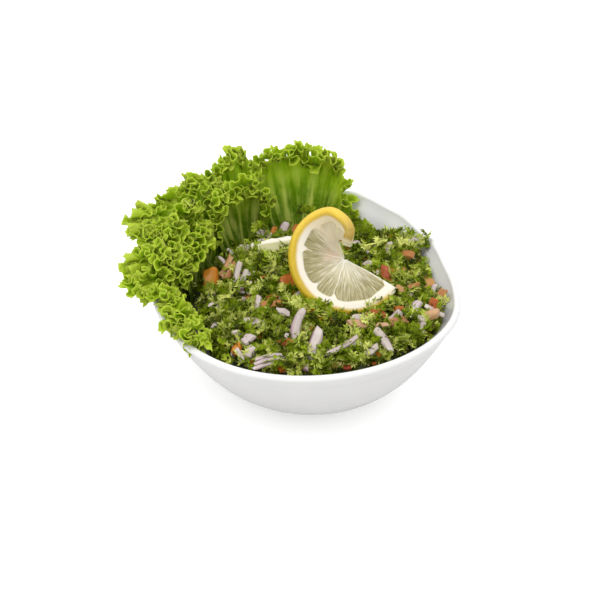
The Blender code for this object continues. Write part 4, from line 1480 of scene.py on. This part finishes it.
# Each slip: azimuth, radius, lift, heading, lean, length, width, bend, layers (mm, degrees)
ONION_SLIPS = (
    (264, 49, 4.4, 84, 38, 19.0, 4.4, 84, 1), (273, 59, 3.6, 76, 36, 15.5, 5.0, 16, 1),
    (284, 62, 3.1, 32, 24, 17.0, 2.6, -22, 1), (300, 47, 3.2, -8, 30, 8.0, 4.0, 14, 1),
    (289, 61, 2.5, 0, 22, 6.8, 3.4, 14, 1), (300, 66, 4.0, -58, 30, 12.0, 4.0, 30, 1),
    (327, 58, 2.9, 64, 28, 7.8, 4.4, 12, 1), (321, 63, 3.3, -8, 22, 7.0, 4.2, 8, 1),
    (330, 66, 3.3, -32, 24, 10.0, 2.4, -16, 1),
    (316, 55, 2.5, 50, 26, 6.2, 4.2, 6, 1), (336, 50, 2.5, 20, 24, 5.6, 3.6, 8, 1),
    (243, 57, 3.1, 40, 28, 5.6, 5.2, 0, 1), (247, 63, 2.7, 60, 26, 5.4, 4.8, 6, 1),
    (256, 67, 3.1, 12, 22, 15.5, 5.8, 26, 3), (244, 66, 2.7, -64, 34, 7.0, 2.4, 10, 1),
    (230, 34, 2.7, 84, 34, 7.0, 3.2, 8, 1), (253, 36, 2.3, -22, 20, 6.6, 3.4, 20, 1),
    (180, 33, 3.3, 78, 36, 13.0, 3.2, 12, 1), (187, 30, 2.9, 70, 34, 10.0, 3.0, -8, 1),
    (147, 43, 2.7, -50, 34, 7.5, 2.0, 14, 1), (158, 43, 3.1, -54, 36, 8.5, 2.0, 16, 1),
    (104, 46, 3.0, 78, 40, 7.6, 4.6, 10, 1), (118, 44, 3.5, -20, 26, 8.0, 3.8, 20, 2),
    (140, 40, 3.5, 0, 34, 5.4, 4.6, 6, 1), (128, 38, 3.5, 24, 26, 7.5, 2.6, 10, 1),
    (25, 44, 2.7, 84, 30, 6.2, 3.4, 8, 1),
    (13, 30, 2.3, 30, 24, 4.2, 3.4, 6, 1), (46, 34, 2.3, 0, 18, 5.4, 2.4, 10, 1),
    (5, 52, 2.3, 10, 18, 4.4, 2.6, 8, 1), (356, 33, 2.1, 40, 22, 3.2, 2.2, 4, 1),
    (205, 46, 2.3, -16, 22, 7.4, 3.8, 14, 1), (240, 46, 2.5, -10, 22, 9.0, 4.4, 18, 1),
    (294, 68, 2.5, 40, 24, 6.6, 3.2, 12, 1),
    (318, 68, 2.5, 74, 28, 5.2, 2.8, 8, 1),
    (236, 54, 2.1, -30, 20, 4.8, 3.0, 8, 1),
    (182, 26, 2.1, 20, 20, 4.4, 2.8, 8, 1), (262, 22, 2.1, 50, 22, 5.0, 2.6, 12, 1),
    (330, 40, 2.1, -16, 20, 5.2, 3.0, 10, 1), (350, 60, 2.3, 70, 26, 5.2, 2.6, 10, 1),
    (28, 58, 2.3, 20, 20, 5.2, 2.8, 10, 1), (70, 44, 2.1, -30, 20, 5.4, 2.6, 10, 1),
    (216, 52, 2.5, 66, 30, 6.0, 3.0, 10, 1), (262, 52, 1.9, -40, 20, 6.0, 2.8, 12, 1),
)


def rounded(value):
    """A sine or cosine drawn out towards 1 and -1, for a section with flat sides."""
    return math.copysign(abs(value) ** SLIP_ROUNDNESS, value)


def slip_rings(length, width, thick, bend, seed, count=15, around=SLIP_AROUND):
    """Rings of points along a curved slip of onion, tapered at both ends."""
    dice = np.random.default_rng(seed)
    bend = math.radians(bend) + 0.02
    wobble = dice.uniform(0, 6.28, 3)
    blunt = dice.uniform(0.08, 0.26, 2)
    slant = dice.uniform(-0.60, 0.60, 2)
    narrow = dice.uniform(0.45, 0.92, 2)
    rings = []
    for share in np.linspace(0, 1, count):
        angle = (share - 0.5) * bend
        middle = (length / bend * math.sin(angle), length / bend * (math.cos(angle) - 1))
        taper = min(share / blunt[0], (1 - share) / blunt[1], 1.0) ** 0.6
        end_width = narrow[0] if share < 0.5 else narrow[1]
        wide = width * (end_width + (1 - end_width) * taper)
        wide = wide * (1 + 0.07 * math.sin(9 * share + wobble[0]))
        deep = thick * (0.72 + 0.28 * taper) * (1 + 0.10 * math.sin(11 * share + wobble[1]))
        sway = 0.05 * width * math.sin(7 * share + wobble[2])
        ring = []
        for k in range(around):
            a = 2 * math.pi * (k + 0.5) / around
            across = rounded(math.cos(a)) * wide / 2 + sway
            up = rounded(math.sin(a)) * deep / 2
            up += 0.20 * wide * (1 - (2 * (across - sway) / wide) ** 2)
            along = across * (slant[0] * (1 - share) ** 3 + slant[1] * share ** 3)
            x = middle[0] + math.sin(angle) * across + math.cos(angle) * along
            y = middle[1] + math.cos(angle) * across - math.sin(angle) * along
            ring.append((x, y, up))
        rings.append(ring)
    rings = np.array(rings)
    first = np.repeat(rings[:1].mean(axis=1, keepdims=True), around, axis=1)
    last = np.repeat(rings[-1:].mean(axis=1, keepdims=True), around, axis=1)
    return np.concatenate((first, rings, last))


def laid(points, azimuth, radius, lift, heading, lean, roll):
    """Puts the points of one piece on the heap, leaning back by the given angle."""
    spot = Vector(at(azimuth, radius / 1000, 0.0))
    ground = heap_top(spot.x, spot.y) or BESIDE_HEIGHT - 0.001
    turned = Matrix.Rotation(math.radians(lean), 3, "X")
    turned = turned @ Matrix.Rotation(math.radians(heading), 3, "Z")
    turned = np.array(turned @ Matrix.Rotation(math.radians(roll), 3, "X"))
    return points @ turned.T + np.array((spot.x, spot.y, ground + lift / 1000))


def joined(name, shapes):
    """One mesh of many closed shapes, each given as points, faces and values by name."""
    points = []
    faces = []
    layers = {}
    first = 0
    for shape_points, shape_faces, values in shapes:
        points.append(shape_points)
        faces += [tuple(corner + first for corner in face) for face in shape_faces]
        first += len(shape_points)
        for label, value in values.items():
            layers.setdefault(label, []).append(np.broadcast_to(value, len(shape_points)))
    mesh = bpy.data.meshes.new(name)
    mesh.from_pydata(np.concatenate(points).tolist(), [], faces)
    for label, value in layers.items():
        set_layer(mesh, label, np.concatenate(value))
    work = bmesh.new()
    work.from_mesh(mesh)
    bmesh.ops.remove_doubles(work, verts=work.verts, dist=0.0000005)
    bmesh.ops.dissolve_degenerate(work, edges=work.edges, dist=0.0000001)
    bmesh.ops.recalc_face_normals(work, faces=work.faces)
    work.to_mesh(mesh)
    work.free()
    mesh.shade_smooth()
    mesh.set_sharp_from_angle(angle=math.radians(34))
    return mesh


def ring_faces(rings, around):
    """Quads between rings of points, by the numbers of their corners."""
    faces = []
    for r in range(rings - 1):
        for k in range(around):
            k2 = (k + 1) % around
            low, high = r * around, (r + 1) * around
            faces.append((low + k, low + k2, high + k2, high + k))
    return faces


dice = np.random.default_rng(77)
shapes = []
for number, (*laying, length, width, bend, layers) in enumerate(ONION_SLIPS):
    roll = dice.uniform(-18, 18)
    shade = dice.uniform(0, 1)
    for layer in range(layers):
        wide = width / layers
        thick = min(wide * SLIP_DEPTH, SLIP_DEEPEST) * dice.uniform(0.8, 1.0)
        salt = 200 + 7 * number + layer
        rings = slip_rings(length * (1 - 0.12 * layer), wide * 0.95, thick, bend, salt)
        outer = (rings[..., 1] - rings[..., 1].mean(axis=1, keepdims=True)) / (wide / 2)
        rings[..., 1] += (layer - (layers - 1) / 2) * wide
        rings[..., 2] += dice.uniform(-0.3, 0.3)
        points = laid(rings.reshape(-1, 3) / 1000, *laying, roll)
        values = {
            "skin": np.clip(np.maximum(outer, outer * -0.72), 0, 1).ravel(),
            "shade": shade + 0.15 * layer,
            "grain": outer.ravel() * wide / 2 + 10 * number + 3 * layer,
        }
        shapes.append((points, ring_faces(len(rings), SLIP_AROUND), values))
onion_mesh = joined("onion_slips", shapes)

onion_finish, tree, shader = new_finish("red_onion", {
    "Subsurface Weight": 0.35, "Subsurface Radius": (0.0012, 0.0009, 0.0010), "Subsurface Scale": 1.0,
    "Roughness": 0.30,
})
cloud = cloudy(tree, object_place(tree), 330.0, 2.0)
drift = sum_of(tree, "SUBTRACT", cloud, 0.5)
lines = {"W": scaled(tree, drift, 0.5, read_layer(tree, "grain")), "Scale": 2.2, "Detail": 2.0}
lines = node_of(tree, "ShaderNodeTexNoise", lines, noise_dimensions="1D").outputs["Fac"]
pale = blend_colours(tree, read_layer(tree, "shade"), (0.54, 0.49, 0.40), (0.45, 0.34, 0.37))
streaked = times(tree, step_mask(tree, lines, 0.35, 0.70), 0.5)
flesh = blend_colours(tree, streaked, pale, (0.76, 0.70, 0.65))
patchy = times(tree, step_mask(tree, cloud, 0.60, 0.42), 0.35)
flesh = blend_colours(tree, patchy, flesh, (0.38, 0.31, 0.22))
edge = scaled(tree, drift, 0.5, read_layer(tree, "skin"))
edge = times(tree, step_mask(tree, edge, 0.50, 0.98), 0.9)
give(tree, shader.inputs["Base Color"], blend_colours(tree, edge, flesh, (0.27, 0.13, 0.20)))
make_uneven(tree, shader, lines, 0.25, 0.0002)
onion = new_piece("onion_slips", onion_mesh, onion_finish)
onion_kinds = bpy.data.collections.new("onion_kinds")
# Small bits: length, width, thickness, bend (mm, degrees)
ONION_BITS = ((3.6, 2.2, 1.4, 10), (2.6, 2.4, 1.6, 0), (4.6, 1.5, 1.1, 24))
BIT_AROUND = 8
for seed, (length, width, thick, bend) in enumerate(ONION_BITS):
    rings = slip_rings(length, width, thick, bend, 900 + seed, 6, BIT_AROUND)
    outer = (rings[..., 1] - rings[..., 1].mean(axis=1, keepdims=True)) / (width / 2)
    values = {"skin": np.clip(outer.ravel(), 0, 1), "grain": outer.ravel() * width / 2}
    shape = (rings.reshape(-1, 3) / 1000, ring_faces(len(rings), BIT_AROUND), values)
    bit = joined("onion_bit_%d" % seed, [shape])
    onion_kinds.objects.link(bpy.data.objects.new(bit.name, bit))
onion_bits = strewn("onion_bits", inner_mesh.copy(), {
    "Pieces": onion_kinds, "Clear Of": lemon, "Finish": onion_finish, "Per Square Metre": 22000.0,
    "Smallest": 0.55, "Largest": 1.15, "Deepest": -0.0014, "Highest": 0.0006,
    "Most Tilt": 1.2, "Clearance": 0.0026, "Clumping": 0.006, "Seed": 41,
})
for piece in (onion, onion_bits):
    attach(piece, "root")
    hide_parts("tabbouleh")


# ------------------------------------------------------------------------------
# Tomato. Firm tomato cut in small uneven dice, from pale inner flesh through orange to red,
# wet on the cut faces and smooth on the one face that still has its skin.
# ------------------------------------------------------------------------------
BLOCK_SHARPNESS = 5.0
DIE_SUNK = 0.3
# Each die: azimuth, radius, lift, heading, lean, three sizes, ripeness from 0 pale to 1 red
TOMATO_DICE = (
    (174, 46, 3.2, 98, 42, 9.4, 6.6, 5.8, 0.50), (235, 14, 2.4, 20, 28, 9.0, 7.0, 5.0, 0.66),
    (356, 37, 2.8, 75, 30, 6.8, 5.8, 4.5, 0.92), (309, 48, 2.0, 8, 28, 9.0, 5.8, 4.5, 0.88),
    (327, 66, 3.2, 20, 24, 7.8, 4.4, 3.8, 0.20), (19, 51, 2.6, -12, 24, 8.0, 5.6, 4.0, 0.34),
    (353, 58, 2.8, 0, 22, 6.4, 4.2, 3.5, 0.36), (345, 51, 2.6, 12, 22, 5.4, 4.0, 3.5, 0.32),
    (49, 30, 2.0, 80, 30, 7.5, 4.2, 4.0, 0.50), (260, 55, 1.6, 8, 22, 7.0, 5.0, 4.5, 0.90),
    (241, 63, 2.4, 50, 30, 5.6, 4.8, 4.0, 0.54), (8, 46, 2.0, 30, 24, 4.8, 3.6, 3.2, 0.30),
    (297, 49, 2.4, 0, 22, 9.5, 4.2, 3.5, 0.16), (314, 58, 2.6, 12, 22, 9.5, 4.4, 3.5, 0.22),
    (306, 56, 2.4, 0, 20, 5.4, 3.6, 3.2, 0.12), (242, 33, 2.4, 4, 22, 9.0, 4.2, 3.6, 0.34),
    (335, 63, 2.0, 70, 26, 6.0, 5.2, 4.2, 0.84), (323, 52, 2.2, 0, 22, 4.4, 3.2, 3.4, 0.66),
    (111, 46, 2.6, 80, 32, 5.4, 3.8, 3.6, 0.60), (97, 44, 2.6, 70, 32, 5.8, 3.8, 3.6, 0.58),
    (164, 40, 3.0, 66, 36, 12.0, 3.2, 3.0, 0.24), (170, 37, 2.8, 60, 34, 10.0, 3.0, 3.0, 0.28),
    (236, 28, 1.4, 30, 22, 6.0, 4.0, 4.0, 0.86), (272, 34, 1.6, -10, 22, 7.0, 3.6, 3.6, 0.70),
    (338, 46, 2.0, -20, 24, 5.2, 3.6, 3.2, 0.30), (5, 40, 1.6, 40, 22, 5.0, 3.8, 3.4, 0.64),
    (336, 32, 1.6, 20, 22, 4.6, 3.4, 3.4, 0.76), (347, 64, 2.2, 60, 24, 5.4, 3.8, 3.2, 0.30),
    (62, 40, 1.6, 10, 22, 5.6, 3.4, 3.4, 0.56), (222, 24, 1.6, 0, 22, 5.6, 3.6, 3.4, 0.80),
)


def plain_block(cuts):
    """Points and faces of a cube from -1 to 1, cut into smaller squares."""
    work = bmesh.new()
    bmesh.ops.create_cube(work, size=2.0)
    bmesh.ops.subdivide_edges(work, edges=work.edges, cuts=cuts, use_grid_fill=True)
    work.verts.ensure_lookup_table()
    points = np.array([vertex.co[:] for vertex in work.verts])
    faces = [tuple(vertex.index for vertex in face.verts) for face in work.faces]
    work.free()
    return points, faces


def rounded_block(points, sizes, seed):
    """Block with soft corners, uneven cut faces and slightly skewed sides, sizes in metres."""
    dice = np.random.default_rng(seed)
    away = (np.abs(points) ** BLOCK_SHARPNESS).sum(axis=1, keepdims=True) ** (1 / BLOCK_SHARPNESS)
    points = points / away
    skew = np.eye(3) + dice.uniform(-0.20, 0.20, (3, 3))
    points = points @ skew.T
    points = points * (1 + 0.12 * np.sin(points[:, [1, 2, 0]] * 2.3 + dice.uniform(0, 6, 3)))
    points = points + 0.05 * np.sin(points[:, [2, 0, 1]] * 6.1 + dice.uniform(0, 6, 3))
    return points * np.array(sizes) / 2


shapes = []
block_points, block_faces = plain_block(4)
for number, (azimuth, radius, lift, heading, lean, *sizes, ripe) in enumerate(TOMATO_DICE):
    shrunk = dice.uniform(0.86, 1.0)
    points = rounded_block(block_points, [size * shrunk / 1000 for size in sizes], 300 + number)
    skin = (block_points[:, number % 2 + 1] > 0.99).astype(float)
    points = laid(points, azimuth, radius, lift - DIE_SUNK, heading, lean, dice.uniform(-20, 20))
    shapes.append((points, block_faces, {"skin": skin, "ripe": ripe}))
tomato_mesh = joined("tomato_dice", shapes)
tomato_finish, tree, shader = new_finish("diced_tomato", {
    "Subsurface Weight": 0.15, "Subsurface Radius": (0.0020, 0.0008, 0.0003), "Subsurface Scale": 1.0,
    "Specular IOR Level": 0.18, "Coat Weight": 0.06, "Coat Roughness": 0.12,
})
pulp = cloudy(tree, object_place(tree), 420.0, 3.0)
ripeness = scaled(tree, pulp, 0.24, read_layer(tree, "ripe"))
ripeness = scaled(tree, read_layer(tree, "shade"), 0.5, ripeness)
tint = tinted(tree, sum_of(tree, "SUBTRACT", ripeness, 0.12), (
    (0.10, (0.58, 0.36, 0.21)), (0.32, (0.46, 0.25, 0.090)), (0.50, (0.50, 0.19, 0.012)),
    (0.70, (0.44, 0.120, 0.010)), (1.00, (0.33, 0.060, 0.028)),
))
skin_share = times(tree, read_layer(tree, "skin"), 0.5)
give(tree, shader.inputs["Base Color"], blend_colours(tree, skin_share, tint, (0.34, 0.080, 0.010)))
give(tree, shader.inputs["Roughness"], scaled(tree, pulp, 0.3, 0.18))
make_uneven(tree, shader, pulp, 0.5, 0.0004)
tomato = new_piece("tomato_dice", tomato_mesh, tomato_finish)
tomato_kinds = bpy.data.collections.new("tomato_kinds")
bit_points, bit_faces = plain_block(1)
for seed, ripe in enumerate((0.18, 0.30, 0.45, 0.56)):
    points = rounded_block(bit_points, (0.0034, 0.0025 + 0.0003 * seed, 0.0020), 600 + seed)
    bit = joined("tomato_bit_%d" % seed, [(points, bit_faces, {"ripe": ripe})])
    tomato_kinds.objects.link(bpy.data.objects.new(bit.name, bit))
tomato_bits = strewn("tomato_bits", inner_mesh.copy(), {
    "Pieces": tomato_kinds, "Clear Of": lemon, "Finish": tomato_finish, "Per Square Metre": 30000.0,
    "Smallest": 0.55, "Largest": 1.30, "Deepest": -0.0018, "Highest": 0.0004,
    "Most Tilt": 1.2, "Clearance": 0.0026, "Clumping": 0.006, "Seed": 57,
})
for piece in (tomato, tomato_bits):
    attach(piece, "root")
    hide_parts("tabbouleh")


# ------------------------------------------------------------------------------
# Bulgur. Soaked cracked wheat: small plump beige grains, a little glassy, tossed through the
# leaves and lying in the gaps between them.
# ------------------------------------------------------------------------------
GRAIN_HALVES = (0.00115, 0.00075, 0.0006)
GRAIN_UNEVENNESS = 0.16

grain_kinds = bpy.data.collections.new("grain_kinds")
for seed in range(3):
    work = bmesh.new()
    bmesh.ops.create_icosphere(work, subdivisions=1, radius=1.0)
    grain_dice = np.random.default_rng(800 + seed)
    for vertex in work.verts:
        swell = 1 + grain_dice.uniform(-GRAIN_UNEVENNESS, GRAIN_UNEVENNESS)
        vertex.co = Vector([part * half for part, half in zip(vertex.co, GRAIN_HALVES)]) * swell
    grain_kinds.objects.link(finished_shape("grain_%d" % seed, work))
bulgur_finish, tree, shader = new_finish("soaked_bulgur", {
    "Subsurface Weight": 0.3, "Subsurface Radius": (0.0010, 0.0007, 0.0004), "Subsurface Scale": 1.0,
    "Roughness": 0.35,
})
tint = blend_colours(tree, read_layer(tree, "shade"), (0.30, 0.22, 0.09), (0.56, 0.46, 0.26))
give(tree, shader.inputs["Base Color"], tint)
bulgur = strewn("bulgur_grains", inner_mesh.copy(), {
    "Pieces": grain_kinds, "Clear Of": lemon, "Finish": bulgur_finish, "Per Square Metre": 60000.0,
    "Smallest": 0.65, "Largest": 1.25, "Deepest": -0.0016, "Highest": 0.0006,
    "Most Tilt": 1.2, "Clearance": 0.0020, "Clumping": 0.006, "Seed": 71,
})
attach(bulgur, "root")
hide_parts("tabbouleh")


# ------------------------------------------------------------------------------
# Setting. A plain white table top under a bright ceiling that fades towards the walls, one
# broad lamp above, a little to the left, and a camera looking down at the bowl from the front.
# ------------------------------------------------------------------------------
TABLE_REACH = 40.0
LAMP_PLACE = (-0.25, -0.12, 1.00)
LAMP_AIM = (0.0, 0.0, 0.03)
LAMP_SIZE = 0.30
LAMP_POWER = 2.4
CAMERA_AIM = Vector((-0.0031, 0.0, 0.0372))
CAMERA_AWAY = 0.57
CAMERA_DOWN = 35.0
CAMERA_LENS = 71.4
CAMERA_SENSOR = 36.0

table = [[(x, y, 0.0) for x in (-TABLE_REACH, TABLE_REACH)] for y in (-TABLE_REACH, TABLE_REACH)]
floor_mesh = grid_mesh("table_top", np.array(table))
white, tree, shader = new_finish("white_table", {"Roughness": 0.8, "Emission Strength": 1.0})
seen = tree.nodes.new("ShaderNodeLightPath").outputs["Is Camera Ray"]
for label, unseen, in_view in (("Base Color", 0.55, 0.95), ("Emission Color", 0.22, 0.31)):
    tint = blend_colours(tree, seen, (unseen,) * 3, (in_view,) * 3)
    give(tree, shader.inputs[label], tint)
floor = new_piece("table_top", floor_mesh, white, smooth=False)

world = bpy.data.worlds.new("soft_room")
world.use_nodes = True
tree = world.node_tree
direction = tree.nodes.new("ShaderNodeTexCoord").outputs["Generated"]
parts = node_of(tree, "ShaderNodeSeparateXYZ", {"Vector": direction})
ceiling = node_of(tree, "ShaderNodeMapRange", {
    "Value": parts.outputs["Z"], "From Min": 0.05, "From Max": 0.85, "To Min": 0.62, "To Max": 1.30,
}, interpolation_type="SMOOTHSTEP")
background = tree.nodes["Background"]
give(tree, background.inputs["Strength"], ceiling.outputs["Result"])
give(tree, background.inputs["Color"], (1, 1, 1))
bpy.context.scene.world = world

light = bpy.data.lights.new("lamp_above", "AREA")
light.size = LAMP_SIZE
light.energy = LAMP_POWER
lamp = bpy.data.objects.new("lamp_above", light)
lamp.location = LAMP_PLACE
lamp.rotation_euler = (Vector(LAMP_AIM) - Vector(LAMP_PLACE)).to_track_quat("-Z", "Y").to_euler()
bpy.context.scene.collection.objects.link(lamp)

camera = bpy.data.cameras.new("camera")
camera.lens = CAMERA_LENS
camera.sensor_width = CAMERA_SENSOR
camera.clip_start = 0.01
viewer = bpy.data.objects.new("camera", camera)
down = math.radians(CAMERA_DOWN)
viewer.location = CAMERA_AIM + CAMERA_AWAY * Vector((0.0, -math.cos(down), math.sin(down)))
viewer.rotation_euler = (math.pi / 2 - down, 0.0, 0.0)
bpy.context.scene.collection.objects.link(viewer)
bpy.context.scene.camera = viewer
bpy.context.scene.view_settings.view_transform = "Standard"
